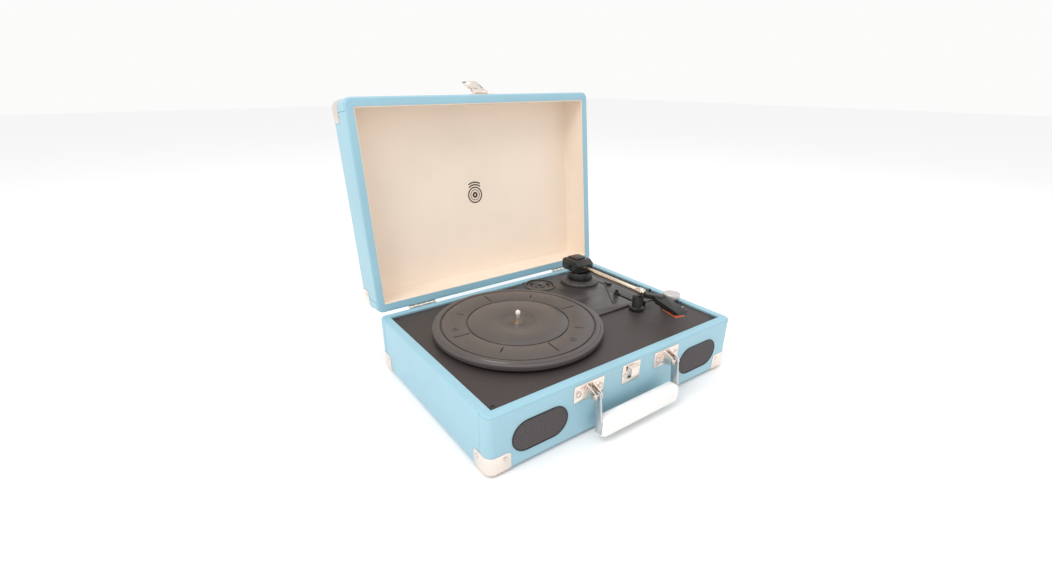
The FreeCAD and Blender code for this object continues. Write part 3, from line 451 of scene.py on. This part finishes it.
def carve(piece, *tools):
    """Cut tools out of a piece; the tools are used up."""
    for tool in tools:
        modifier(piece, "BOOLEAN", operation="DIFFERENCE", object=tool, solver="EXACT")
        bpy.data.objects.remove(tool, do_unlink=True)
    return piece


def soften(piece, width, segments=2, angle=32):
    return modifier(piece, "BEVEL", width=width, segments=segments, limit_method="ANGLE",
                    angle_limit=math.radians(angle), harden_normals=False, miter_outer="MITER_ARC")


def smooth(piece, angle=32):
    take(piece)
    bpy.ops.object.shade_smooth_by_angle(angle=math.radians(angle))
    return piece


def outward(piece):
    editing(piece)
    bpy.ops.mesh.select_all(action="SELECT")
    bpy.ops.mesh.remove_doubles(threshold=NEAR)
    bpy.ops.mesh.normals_make_consistent(inside=False)
    done()
    return piece


def drawn_line(name, spots):
    """Start a piece as a bent line through a few points; it is left in edit mode."""
    bpy.ops.object.select_all(action="DESELECT")
    bpy.ops.mesh.primitive_plane_add(size=MM, location=spots[0])
    made = settle(fresh(name))
    editing(made)
    bpy.ops.mesh.select_mode(type="VERT")
    bpy.ops.mesh.select_all(action="SELECT")
    bpy.ops.mesh.merge(type="CENTER")
    for before, after in zip(spots, spots[1:]):
        extend(after - before)
    bpy.ops.mesh.select_all(action="SELECT")
    return made


def lathe(name, profile, middle, sides=96):
    """Turn a profile of (radius, height) in millimetres about a vertical axis."""
    made = drawn_line(name, [Vector((middle[0] + r * MM, middle[1], z * MM)) for r, z in profile])
    bpy.ops.mesh.spin(steps=sides, angle=2 * math.pi, center=(middle[0], middle[1], 0), axis=(0, 0, 1))
    done()
    return outward(made)


def prism(name, corners, start, length, axis="Z"):
    """Extrude a closed outline, in millimetres across the Z or Y axis, along that axis."""
    spots = [(a, b, start) if axis == "Z" else (a, start, b) for a, b in corners]
    made = drawn_line(name, [Vector(spot) * MM for spot in spots])
    bpy.ops.mesh.edge_face_add()
    bpy.ops.mesh.select_all(action="SELECT")
    extend(Vector([length * MM if letter == axis else 0 for letter in "XYZ"]))
    done()
    return outward(made)


def arc(middle, radius, start, end, steps):
    """Points of a round stretch of an outline, angles in degrees."""
    turns = [math.radians(start + (end - start) * step / steps) for step in range(steps + 1)]
    return [(middle[0] + radius * math.cos(turn), middle[1] + radius * math.sin(turn))
            for turn in turns]


def rounded(low, high, r):
    """Outline of a rectangle with round corners."""
    (x0, y0), (x1, y1) = low, high
    return (arc((x1 - r, y0 + r), r, -90, 0, 5) + arc((x1 - r, y1 - r), r, 0, 90, 5)
            + arc((x0 + r, y1 - r), r, 90, 180, 5) + arc((x0 + r, y0 + r), r, 180, 270, 5))


def moved(piece, matrix):
    piece.matrix_world = matrix
    return settle(piece)


def about(point, angle, axis):
    """Turn about an axis through a point, in metres and degrees."""
    here = Matrix.Translation(point)
    return here @ Matrix.Rotation(math.radians(angle), 4, axis) @ here.inverted()


def joined(name, pieces):
    take(*pieces)
    if len(pieces) > 1:
        bpy.ops.object.join()
    return fresh(name)


def polished(node, ease):
    """A copy of a CAD node, its flats made whole and its edges eased by some millimetres."""
    source = frame["nodes"][node]
    made = source.copy()
    made.data = source.data.copy()
    made.parent = None
    made.matrix_world = Matrix.Identity(4)
    bpy.context.scene.collection.objects.link(made)
    take(made)
    fresh(node + "_finished")
    editing(made)
    bpy.ops.mesh.select_all(action="SELECT")
    bpy.ops.mesh.remove_doubles(threshold=2e-6)
    bpy.ops.mesh.dissolve_limited(angle_limit=math.radians(1.5))
    done()
    if ease:
        soften(made, ease * MM, 2, 40)
    return smooth(made, 34)


def fit(piece, body, slot, replaces=(), finish=None, angle=32):
    """Give a finished piece its material, its body and the nodes it stands for."""
    smooth(piece, angle)
    piece.data.materials.clear()
    piece.data.materials.append(FINISH[finish or slot].material)
    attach(piece, body)
    if replaces:
        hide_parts(*replaces)
    return piece


# ---- the case ---------------------------------------------------------------------

# The lid is built shut, then turned about its hinge to the open angle of the design.
HINGE = Vector(JOINTS["lid_hinge"]["pos_m"])
OPEN_ANGLE = 97
LID_OPEN = about(HINGE, -OPEN_ANGLE, "X")
BASE_LOW, BASE_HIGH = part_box("base_covering")
SKIN = 0.8 * MM
RIM = 9.8 * MM
LID_HEIGHT = 46 * MM
LID_LOW = BASE_HIGH.z + 0.4 * MM
# Where the front and back panels lap over the sides, and how much thicker they are.
SEAM = 14 * MM
LAP = 0.2 * MM
# Depth of the lid's lining, in millimetres.
LINING_DEPTH = 42


def rounded_case(name, low, high, corner, edge):
    """Block with upright corners rounded and its upper and lower edges eased."""
    made = cube(name, low, high)
    bevel_edges(made, lambda e: runs(e, "Z"), corner, 8)
    bevel_edges(made, lambda e: level(e, low.z) or level(e, high.z), edge, 4)
    return made


def wrapped(name, low, high, open_side):
    """Leatherette skin of half of the case, open upwards (1) or downwards (-1)."""
    made = rounded_case(name, low, high, 8 * MM, 2.2 * MM)
    editing(made)
    front, back = low.y + SEAM, high.y - SEAM
    for place in (front, back):
        bpy.ops.mesh.select_all(action="SELECT")
        bpy.ops.mesh.bisect(plane_co=(0, place, 0), plane_no=(0, 1, 0))
    pick(made, "faces", lambda f: abs(f.normal.z) < 0.1 and not front < f.calc_center_median().y < back)
    bpy.ops.mesh.extrude_region_shrink_fatten(TRANSFORM_OT_shrink_fatten={"value": LAP})
    done()
    inner_low = low + Vector((SKIN, SKIN, SKIN))
    inner_high = high - Vector((SKIN, SKIN, SKIN))
    core = rounded_case("core", inner_low, inner_high, 7.2 * MM, 1.4 * MM)
    reach = Vector((RIM, RIM, 0))
    shift = Vector((0, 0, open_side * 10 * MM))
    hole = cube("hole", low + reach + shift, high - reach + shift)
    return carve(made, core, hole, *lap_grooves(low, high))


def lap_grooves(low, high):
    """Narrow cutters along the upright edges of the front and back panels."""
    cutters = []
    for x in (low.x, high.x):
        for y in (low.y + SEAM, high.y - SEAM):
            cutters.append(cube("groove", (x - 0.6 * MM, y - 0.3 * MM, low.z + 0.3 * MM),
                                (x + 0.6 * MM, y + 0.3 * MM, high.z - 0.3 * MM)))
    return cutters


def stadium(name, middle, length, height, front, back):
    """Slot-shaped bar along Y, sizes in millimetres."""
    x, z = middle
    r = height / 2
    reach = length / 2 - r
    outline = arc((x + reach, z), r, -90, 90, 16) + arc((x - reach, z), r, 90, 270, 16)
    return prism(name, outline, front, back - front, "Y")


# Middle of the right speaker opening and the case's front face, in millimetres.
GRILLE_LOW, GRILLE_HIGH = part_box("right_grille")
SPEAKER_X = (GRILLE_LOW.x + GRILLE_HIGH.x) / 2 / MM
SPEAKER_Z = (GRILLE_LOW.z + GRILLE_HIGH.z) / 2 / MM
FRONT_Y = BASE_LOW.y / MM


def make_case():
    base = wrapped("base_wrap", BASE_LOW, BASE_HIGH, 1)
    rear_low, rear_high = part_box("rear_panel")
    rear = cube("rear", rear_low + Vector((2 * MM, -20 * MM, 2 * MM)),
                rear_high + Vector((-2 * MM, 5 * MM, -2 * MM)))
    speakers = [stadium("opening", (side * SPEAKER_X, SPEAKER_Z), 61, 29, FRONT_Y - 5, FRONT_Y + 12)
                for side in (-1, 1)]
    carve(base, rear, *speakers)
    fit(base, "base", "leatherette", ["base_covering"])
    low = Vector((BASE_LOW.x, BASE_LOW.y, LID_LOW))
    high = Vector((BASE_HIGH.x, BASE_HIGH.y, LID_LOW + LID_HEIGHT))
    lid = moved(wrapped("lid_wrap", low, high, -1), LID_OPEN)
    fit(lid, "lid", "leatherette", ["lid_covering"])
    fit(make_fold(), "base", "leatherette")


def make_fold():
    """Leatherette turned in over the mouth of the base, down to the deck."""
    low = Vector((BASE_LOW.x + RIM - 0.1 * MM, BASE_LOW.y + RIM - 0.1 * MM,
                  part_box("deck_board")[1].z + 0.1 * MM))
    high = Vector((-low.x, -low.y, BASE_HIGH.z - 0.3 * MM))
    inset = Vector((0.6 * MM, 0.6 * MM, -MM))
    fold = cube("rim_fold", low, high)
    return carve(fold, cube("fold_hole", low + inset, high - inset))


def make_lining():
    """Cream lining pressed into the lid, with a raised lip round its mouth."""
    x, y = BASE_HIGH.x - RIM, BASE_HIGH.y - RIM
    top = LID_LOW + LINING_DEPTH * MM
    made = cube("lid_lining_cloth", (-x - SKIN, -y - SKIN, LID_LOW + 1.2 * MM),
                (x + SKIN, y + SKIN, top + SKIN))
    hole = cube("hollow", (-x, -y, LID_LOW - 5 * MM), (x, y, top))
    bevel_edges(hole, lambda e: level(e, top) or runs(e, "Z"), 2.5 * MM)
    carve(made, hole)
    fit(moved(made, LID_OPEN), "lid", "lining", ["lid_lining"])
    lip_high = LID_LOW + 2.2 * MM
    lip = cube("lining_lip", (-x - 0.2 * MM, -y - 0.2 * MM, LID_LOW + 0.5 * MM),
               (x + 0.2 * MM, y + 0.2 * MM, lip_high))
    carve(lip, cube("mouth", (-x + 1.1 * MM, -y + 1.1 * MM, LID_LOW - MM),
                    (x - 1.1 * MM, y - 1.1 * MM, lip_high + MM)))
    soften(lip, 0.35 * MM, 2)
    fit(moved(lip, LID_OPEN), "lid", "lining")


def make_emblem():
    """Printed roundel: a plain record with two sound arcs over it."""
    z = LID_LOW / MM + LINING_DEPTH - 0.2
    pieces = []
    for outer, inner in ((11.4, 9.6), (7.5, 6.5), (4.2, 1.3)):
        ring = drum("ring", outer * MM, (0, -2.5 * MM, z * MM), 0.15 * MM, sides=64)
        carve(ring, drum("bore", inner * MM, (0, -2.5 * MM, (z - 1) * MM), 2 * MM, sides=48))
        pieces.append(ring)
    for radius, spread in ((14.0, 40), (17.4, 32)):
        outline = (arc((0, -2.5), radius + 0.9, 90 - spread, 90 + spread, 12)
                   + arc((0, -2.5), radius - 0.9, 90 + spread, 90 - spread, 12))
        pieces.append(prism("sound_arc", outline, z, 0.15))
    emblem = joined("lid_emblem_print", pieces)
    flip = Matrix.Rotation(math.radians(180), 4, "Z")
    moved(emblem, LID_OPEN @ flip)
    fit(emblem, "lid", "lining", finish="emblem_ink")


# ---- the grilles ------------------------------------------------------------------

# Radius of the mesh's round ends, and the spacing of its wires and posts.
MESH_END = 16.2
WIRE_PITCH = 2.1
POST_PITCH = 3.1


def make_grille(side, name):
    """Narrow stadium bezel round a fine pressed mesh, with dark cloth behind it."""
    x = side * SPEAKER_X
    bezel = stadium("%s_bezel" % name, (x, SPEAKER_Z), 67, 35, FRONT_Y - 1.2, FRONT_Y + 1)
    carve(bezel, stadium("mouth", (x, SPEAKER_Z), 64, 32, FRONT_Y - 5, FRONT_Y + 5))
    soften(bezel, 0.4 * MM, 3)
    wires = []
    for step in range(-7, 8):
        rise = step * WIRE_PITCH
        half = MESH_END + math.sqrt(MESH_END ** 2 - rise ** 2)
        wires.append(cube("wire",
                          ((x - half) * MM, (FRONT_Y - 0.8) * MM, (SPEAKER_Z + rise - 0.6) * MM),
                          ((x + half) * MM, (FRONT_Y - 0.35) * MM, (SPEAKER_Z + rise + 0.6) * MM)))
    for step in range(-10, 11):
        across = step * POST_PITCH
        half = math.sqrt(MESH_END ** 2 - max(0.0, abs(across) - MESH_END) ** 2)
        wires.append(cube("post",
                          ((x + across - 0.2) * MM, (FRONT_Y - 0.6) * MM, (SPEAKER_Z - half) * MM),
                          ((x + across + 0.2) * MM, (FRONT_Y - 0.2) * MM, (SPEAKER_Z + half) * MM)))
    mesh = joined("%s_grille_mesh" % name, wires)
    cloth = stadium("%s_speaker_cloth" % name, (x, SPEAKER_Z), 65, 33, FRONT_Y - 0.2,
                    FRONT_Y + 0.5)
    fit(bezel, "base", "dark_plastic", ["%s_grille" % name])
    fit(mesh, "base", "dark_plastic", ["%s_grille" % name], finish="grille")
    fit(cloth, "base", "dark_plastic", ["%s_grille" % name])


# ---- platter ----------------------------------------------------------------------

PLATTER = Vector(JOINTS["platter_spin"]["pos_m"])
# Bearings in degrees: the first of the eight marks, and the two bosses.
MARK_BEARING = -4
BOSS_BEARINGS = (-72, 162)
# Where a mark starts and how far it reaches, and how far out the bosses sit, in millimetres.
LONG_MARK, SHORT_MARK = (63, 20), (67, 10)
BOSS_PLACE = 75


def make_platter():
    """Moulded platter: raised lip, sunk ring grooves, dished middle, radial marks."""
    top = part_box("platter")[1].z / MM - 0.3
    # (radius, height above the top face), out along the underside and back over the top
    section = [(7, -6.2), (12, -6.2), (12, -3.2), (75, -3.2), (75, -6.8), (78, -6.8), (78, -3.2),
               (96.6, -3.2), (96.6, -7.8), (97.2, -7.9), (98.8, -7.9), (99.7, -7.2), (100, -6.0),
               (100, -3.2), (99.7, -2.2), (98.9, -1.6), (97.6, -1.3), (96.6, -1.1), (96.1, -0.5),
               (95.5, 0.05), (94.6, 0.2), (91.8, 0.2), (91.0, 0), (90.6, -1.7), (90.0, -1.9),
               (89.2, -1.7), (88.8, -0.1), (88.2, 0), (60.9, 0), (60.5, -0.2), (60.4, -1.9),
               (58.9, -1.9), (58.8, -0.2), (58.4, 0), (23.2, 0), (22.6, -0.25), (22.2, -0.7),
               (20.5, -1.0), (16.0, -1.3), (10.5, -1.4), (9.4, -1.1), (8.9, -0.5), (8.3, -0.25),
               (7, -0.3)]
    profile = [(r, top + rise) for r, rise in section + section[:1]]
    disc = lathe("platter_disc", profile, PLATTER, 180)
    centre = Matrix.Translation(PLATTER - Vector((0, 0, PLATTER.z)))
    tools = []
    for step in range(8):
        start, reach = SHORT_MARK if step % 2 else LONG_MARK
        mark = cube("mark", (start * MM, -0.8 * MM, (top - 1.8) * MM),
                    ((start + reach) * MM, 0.8 * MM, (top + 2) * MM))
        turn = Matrix.Rotation(math.radians(45 * step + MARK_BEARING), 4, "Z")
        tools.append(moved(mark, centre @ turn))
    carve(disc, *tools)
    soften(disc, 0.15 * MM, 2, 50)
    fit(disc, "platter", "platter_black", ["platter"], angle=28)
    ring = [(1.7, -1.5), (1.7, 0.5), (2.1, 0.9), (3.4, 0.9), (3.9, 0.5), (4.1, -0.3), (4.1, -1.5),
            (1.7, -1.5)]
    for step, angle in enumerate(BOSS_BEARINGS):
        turn = math.radians(angle)
        spot = (PLATTER.x + BOSS_PLACE * MM * math.cos(turn),
                PLATTER.y + BOSS_PLACE * MM * math.sin(turn))
        boss = lathe("platter_boss_%d" % step, [(r, top + rise) for r, rise in ring], spot, 40)
        fit(boss, "platter", "platter_black", ["platter"])
    bush = polished("platter_bush", 0.2)
    fit(bush, "platter", "brass", ["platter_bush"])
    low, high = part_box("spindle")
    foot, tip = low.z / MM, high.z / MM
    outline = [(0, foot), (3.55, foot), (3.55, tip - 4.2), (3.3, tip - 3.3), (2.9, tip - 1.9),
               (2.2, tip - 0.8), (1.2, tip - 0.2), (0, tip)]
    pin = lathe("spindle_pin", outline, PLATTER, 48)
    fit(pin, "base", "nickel", ["spindle"])


# ---- pieces kept from the design with eased edges ----------------------------------

EASED = {
    # node: (body, slot, ease in millimetres)
    "chassis_plate": ("base", "chassis_black", 0.5),
    "deck_screws": ("base", "dark_plastic", 0.1),
    "tonearm_base": ("base", "chassis_black", 0.4),
    "tonearm_turret": ("tonearm_turret", "dark_plastic", 0.5),
    "tonearm_rear_block": ("tonearm", "dark_plastic", 0.6),
    "tonearm_tube": ("tonearm", "tube_metal", 0.1),
    "headshell_collar": ("tonearm", "nickel", 0.3),
    "headshell": ("tonearm", "dark_plastic", 0.4),
    "cartridge": ("tonearm", "dark_plastic", 0.2),
    "stylus": ("tonearm", "stylus_red", 0.2),
    "rest_post": ("base", "dark_plastic", 0.3),
    "rest_clip": ("rest_clip", "dark_plastic", 0.15),
    "cue_lever": ("cue_lever", "dark_plastic", 0.3),
    "speed_selector": ("speed_selector", "dark_plastic", 0.3),
    "auto_stop_tab": ("auto_stop_tab", "dark_plastic", 0.3),
    "handle_arm_left": ("handle", "arm_steel", 0.3),
    "handle_arm_right": ("handle", "arm_steel", 0.3),
    "handle_bracket_left": ("base", "nickel", 0.15),
    "handle_bracket_right": ("base", "nickel", 0.15),
    "handle_pins": ("base", "nickel", 0.2),
    "base_corner_caps": ("base", "nickel", 0.12),
    "lid_corner_caps": ("lid", "nickel", 0.12),
    "latch_keeper": ("base", "nickel", 0.15),
    "latch_plate": ("lid", "nickel", 0.15),
    "latch_lever": ("latch_lever", "nickel", 0.15),
    "latch_loop": ("latch_loop", "nickel", 0.0),
    "hinge_base_leaves": ("base", "nickel", 0.1),
    "hinge_lid_leaves": ("lid", "nickel", 0.1),
    "rear_panel": ("base", "dark_plastic", 0.3),
    "dc_socket": ("base", "dark_plastic", 0.2),
    "signal_sockets": ("base", "nickel", 0.2),
    "feet": ("base", "rubber", 0.3),
}


def make_eased():
    for node, (body, slot, ease) in EASED.items():
        fit(polished(node, ease), body, slot, [node])


def make_grip():
    """White bar, its ends closed by the two arms let into them."""
    low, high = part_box("handle_grip")
    made = cube("white_grip", low, high)
    bevel_edges(made, lambda e: runs(e, "Y"), 7.5 * MM, 8)
    bevel_edges(made, lambda e: level(e, low.y, "Y") or level(e, high.y, "Y"), 6.5 * MM, 8)
    room = Vector((0.1, 0.1, 0.1)) * MM
    seats = []
    for side in ("left", "right"):
        arm_low, arm_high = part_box("handle_arm_" + side)
        seats.append(cube("seat", arm_low - room, arm_high + room))
    carve(made, *seats)
    fit(made, "handle", "grip_white", ["handle_grip"], angle=40)


# ---- rivets and small additions ----------------------------------------------------

def rivet_head(spot, facing, size):
    """Domed head in a dished ring, set at a spot in metres and facing an axis."""
    profile = [(0, -0.3), (3.5, -0.3), (3.5, 0.3), (3.2, 0.6), (2.8, 0.55), (2.65, -0.1),
               (2.25, -0.1), (2.15, 0.7), (1.7, 1.2), (1.0, 1.45), (0, 1.5)]
    head = lathe("rivet", [(r * size, z * size) for r, z in profile], (0, 0), 36)
    turn = Vector(facing).to_track_quat("Z", "Y").to_matrix().to_4x4()
    return moved(head, Matrix.Translation(spot) @ turn)


# How far the corner caps' rivets sit from the outer face of their half of the case.
CAP_RIVET = 15 * MM


def cap_spots(height):
    """Where the rivets of the eight cap ends sit on one half of the case."""
    inset, out = 18.4 * MM, 0.7 * MM
    spots = []
    for sx, x in ((-1, BASE_LOW.x), (1, BASE_HIGH.x)):
        for sy, y in ((-1, BASE_LOW.y), (1, BASE_HIGH.y)):
            spots.append((Vector((x - sx * inset, y + sy * out, height)), (0, sy, 0)))
            spots.append((Vector((x + sx * out, y - sy * inset, height)), (sx, 0, 0)))
    return spots


def make_rivets():
    heads = [rivet_head(spot, facing, 0.8) for spot, facing in cap_spots(BASE_LOW.z + CAP_RIVET)]
    for side in ("left", "right"):
        low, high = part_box("handle_bracket_" + side)
        for reach in (-14.6, 14.6):
            spot = Vector(((low.x + high.x) / 2 + reach * MM, (FRONT_Y - 1) * MM, (low.z + high.z) / 2))
            heads.append(rivet_head(spot, (0, -1, 0), 1.15))
    low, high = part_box("latch_keeper")
    for reach in (-10, 10):
        spot = Vector(((low.x + high.x) / 2 + reach * MM, (FRONT_Y - 1) * MM,
                       (low.z + high.z) / 2 - MM))
        heads.append(rivet_head(spot, (0, -1, 0), 0.75))
    fit(joined("base_rivet_heads", heads), "base", "nickel", ["base_rivets"])
    top = LID_LOW + LID_HEIGHT
    heads = [rivet_head(spot, facing, 0.8) for spot, facing in cap_spots(top - CAP_RIVET)]
    fit(moved(joined("lid_rivet_heads", heads), LID_OPEN), "lid", "nickel", ["lid_rivets"])


def make_adapter():
    """Adapter for large-holed records, with a crescent slot on each side of its middle."""
    low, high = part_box("single_adapter")
    x, y = (low.x + high.x) / 2 / MM, (low.y + high.y) / 2 / MM
    slots = []
    for facing in (-35, 145):
        outline = (arc((x, y), 15, facing - 42, facing + 42, 10)
                   + arc((x, y), 11, facing + 42, facing - 42, 10))
        slots.append(prism("crescent", outline, high.z / MM - 2.2, 5))
    made = carve(polished("single_adapter", 0.3), *slots)
    fit(made, "single_adapter", "platter_black", ["single_adapter"])


def make_keeper_hood():
    """Front of the keeper's hood, and under it a thin dark plate of painted shade standing for the slot."""
    low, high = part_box("latch_keeper")
    x, z = (low.x + high.x) / 2, (low.z + high.z) / 2
    hood = cube("keeper_hood", (x - 6 * MM, low.y - 0.2 * MM, z - 1.5 * MM),
                (x + 6 * MM, low.y + 1.2 * MM, z + 8.4 * MM))
    soften(hood, 0.5 * MM, 3)
    fit(hood, "base", "nickel")
    # Painted shade: a thin dark plate on the front face where the slot under the hood would be.
    outline = rounded((x / MM - 5, z / MM - 7), (x / MM + 5, z / MM - 3.5), 0.6)
    slot_shade = prism("keeper_recess", outline, FRONT_Y - 0.5, 0.4, "Y")
    fit(slot_shade, "base", "dark_plastic")


def wire(name, spots, radius):
    """Thin round lead through a few points in millimetres, running mostly along Y."""
    bpy.ops.object.select_all(action="DESELECT")
    bpy.ops.mesh.primitive_circle_add(vertices=10, radius=radius * MM, fill_type="NGON",
                                      location=Vector(spots[0]) * MM, rotation=AXES["Y"])
    made = settle(fresh(name))
    editing(made)
    bpy.ops.mesh.select_all(action="SELECT")
    for before, after in zip(spots, spots[1:]):
        extend((Vector(after) - Vector(before)) * MM)
    done()
    return outward(made)


def make_arm_details():
    """Raised pad and white dot on the arm's rear block, and the signal lead by its foot."""
    low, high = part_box("tonearm_rear_block")
    middle = (low + high) / 2
    pad = cube("block_pad", (middle.x - 8 * MM, middle.y - 6 * MM, high.z - 1 * MM),
               (middle.x + 8 * MM, high.y - 5 * MM, high.z + 1.8 * MM))
    soften(pad, 0.6 * MM, 3)
    fit(pad, "tonearm", "dark_plastic")
    dot = drum("block_dot", 0.9 * MM, (low.x + 0.6 * MM, low.y + 8 * MM, middle.z), -0.8 * MM,
               "X", 20, 0.6 * MM)
    fit(outward(dot), "tonearm", "dark_plastic", finish="mark_ink")
    x, y, deck = PLATTER.x / MM, PLATTER.y / MM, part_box("deck_board")[1].z / MM
    # the lead's points in millimetres from the platter's axis and above the deck
    sag = ((159, 31, 14.4), (160, 20, 13.4), (153, 6, 10.0), (145, -6, 7.4), (138, -18, 5.4))
    path = [(x + across, y + along, deck + height) for across, along, height in sag]
    fit(wire("signal_lead", path, 0.7), "base", "rubber")


def make_knob():
    """Silver volume knob on its dark skirt and stem, and the white marks round it."""
    low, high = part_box("volume_knob")
    x, y = (low.x + high.x) / 2, (low.y + high.y) / 2
    foot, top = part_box("deck_board")[1].z / MM + 0.5, high.z / MM
    waist = top - 6.4
    outline = [(0, waist), (10.8, waist), (11, waist + 0.4), (10.8, top - 1.4), (10.4, top - 0.5),
               (9.7, top - 0.05), (8.9, top), (8.4, top - 0.35), (0, top - 0.35)]
    cap = lathe("knob_cap", outline, (x, y), 96)
    fit(cap, "volume_knob", "knob_silver", ["volume_knob"])
    outline = [(5.4, foot), (11.2, foot), (11.6, foot + 0.5), (11.4, foot + 1.6), (10.2, foot + 2.4),
               (10.0, waist - 0.1), (5.4, waist - 0.1), (5.4, foot)]
    skirt = lathe("knob_skirt", outline, (x, y), 72)
    fit(skirt, "volume_knob", "dark_plastic", ["volume_knob"])
    stem = drum("knob_stem", 2.95 * MM, (x, y, low.z), foot * MM + 3 * MM - low.z, sides=32)
    fit(stem, "volume_knob", "motor_steel", ["volume_knob"])
    marks = []
    for angle in (88, 192, 10, -47, -66):
        turn = math.radians(angle)
        spot = (x + 16 * MM * math.cos(turn), y + 16 * MM * math.sin(turn), foot * MM - 0.52 * MM)
        marks.append(drum("dot", 1.15 * MM, spot, 0.06 * MM, sides=20))
    fit(joined("volume_marks", marks), "base", "deck_black", finish="mark_ink")


def finish_the_rest():
    """Materials for the design's own nodes that are shown as they are."""
    slots = {part["node"]: part["material_slot"] for part in frame["record"]["subparts"]}
    for node, piece in frame["nodes"].items():
        piece.data.materials.clear()
        piece.data.materials.append(FINISH[slots[node]].material)


# ---- studio -----------------------------------------------------------------------

def make_camera():
    lens = bpy.data.cameras.new("camera")
    lens.lens = 17.0
    lens.sensor_width = 36.0
    lens.shift_x = 0.014
    lens.shift_y = 0.016
    lens.clip_start = 0.01
    camera = bpy.data.objects.new("camera", lens)
    camera.location = (-0.3588, -0.4231, 0.3368)
    camera.rotation_euler = Euler((math.radians(65.76), 0.0, math.radians(-34.74)))
    bpy.context.scene.collection.objects.link(camera)
    bpy.context.scene.camera = camera


def make_light(name, place, target, size, power, color=(1, 1, 1)):
    lamp = bpy.data.lights.new(name, "AREA")
    lamp.shape = "DISK"
    lamp.size = size
    lamp.energy = power
    lamp.color = color
    made = bpy.data.objects.new(name, lamp)
    made.location = place
    made.rotation_euler = (Vector(target) - Vector(place)).to_track_quat("-Z", "Y").to_euler()
    bpy.context.scene.collection.objects.link(made)


def make_studio():
    world = bpy.data.worlds.new("studio")
    world.use_nodes = True
    world.node_tree.nodes["Background"].inputs["Color"].default_value = (1.0, 0.995, 0.99, 1.0)
    world.node_tree.nodes["Background"].inputs["Strength"].default_value = 0.97
    bpy.context.scene.world = world
    make_light("key", (-1.1, -0.35, 1.45), (0, 0, 0.05), 0.8, 11.0, (1.0, 0.985, 0.96))
    make_light("fill", (1.4, -0.6, 1.0), (0, 0, 0.1), 1.4, 2.0)
    make_light("top", (0.1, 0.3, 1.7), (0, 0, 0.05), 1.0, 4.0)
    bpy.ops.object.select_all(action="DESELECT")
    bpy.ops.mesh.primitive_plane_add(size=14.0, location=(0, 0, 0))
    floor = fresh("studio_floor")
    paper = Finish("floor_paper", (0.93, 0.93, 0.935), 0.9, Specular_IOR_Level=0.1,
                   Emission_Strength=0.02)
    paper.relief(paper.noise(300.0, 2.0), 0.0001, 0.2)
    floor.data.materials.append(paper.material)
    bpy.context.scene.view_settings.view_transform = "Standard"


make_camera()
make_studio()
finish_the_rest()
make_case()
make_lining()
make_emblem()
make_grille(-1, "left")
make_grille(1, "right")
make_platter()
make_eased()
make_grip()
make_rivets()
make_adapter()
make_keeper_hood()
make_arm_details()
make_knob()
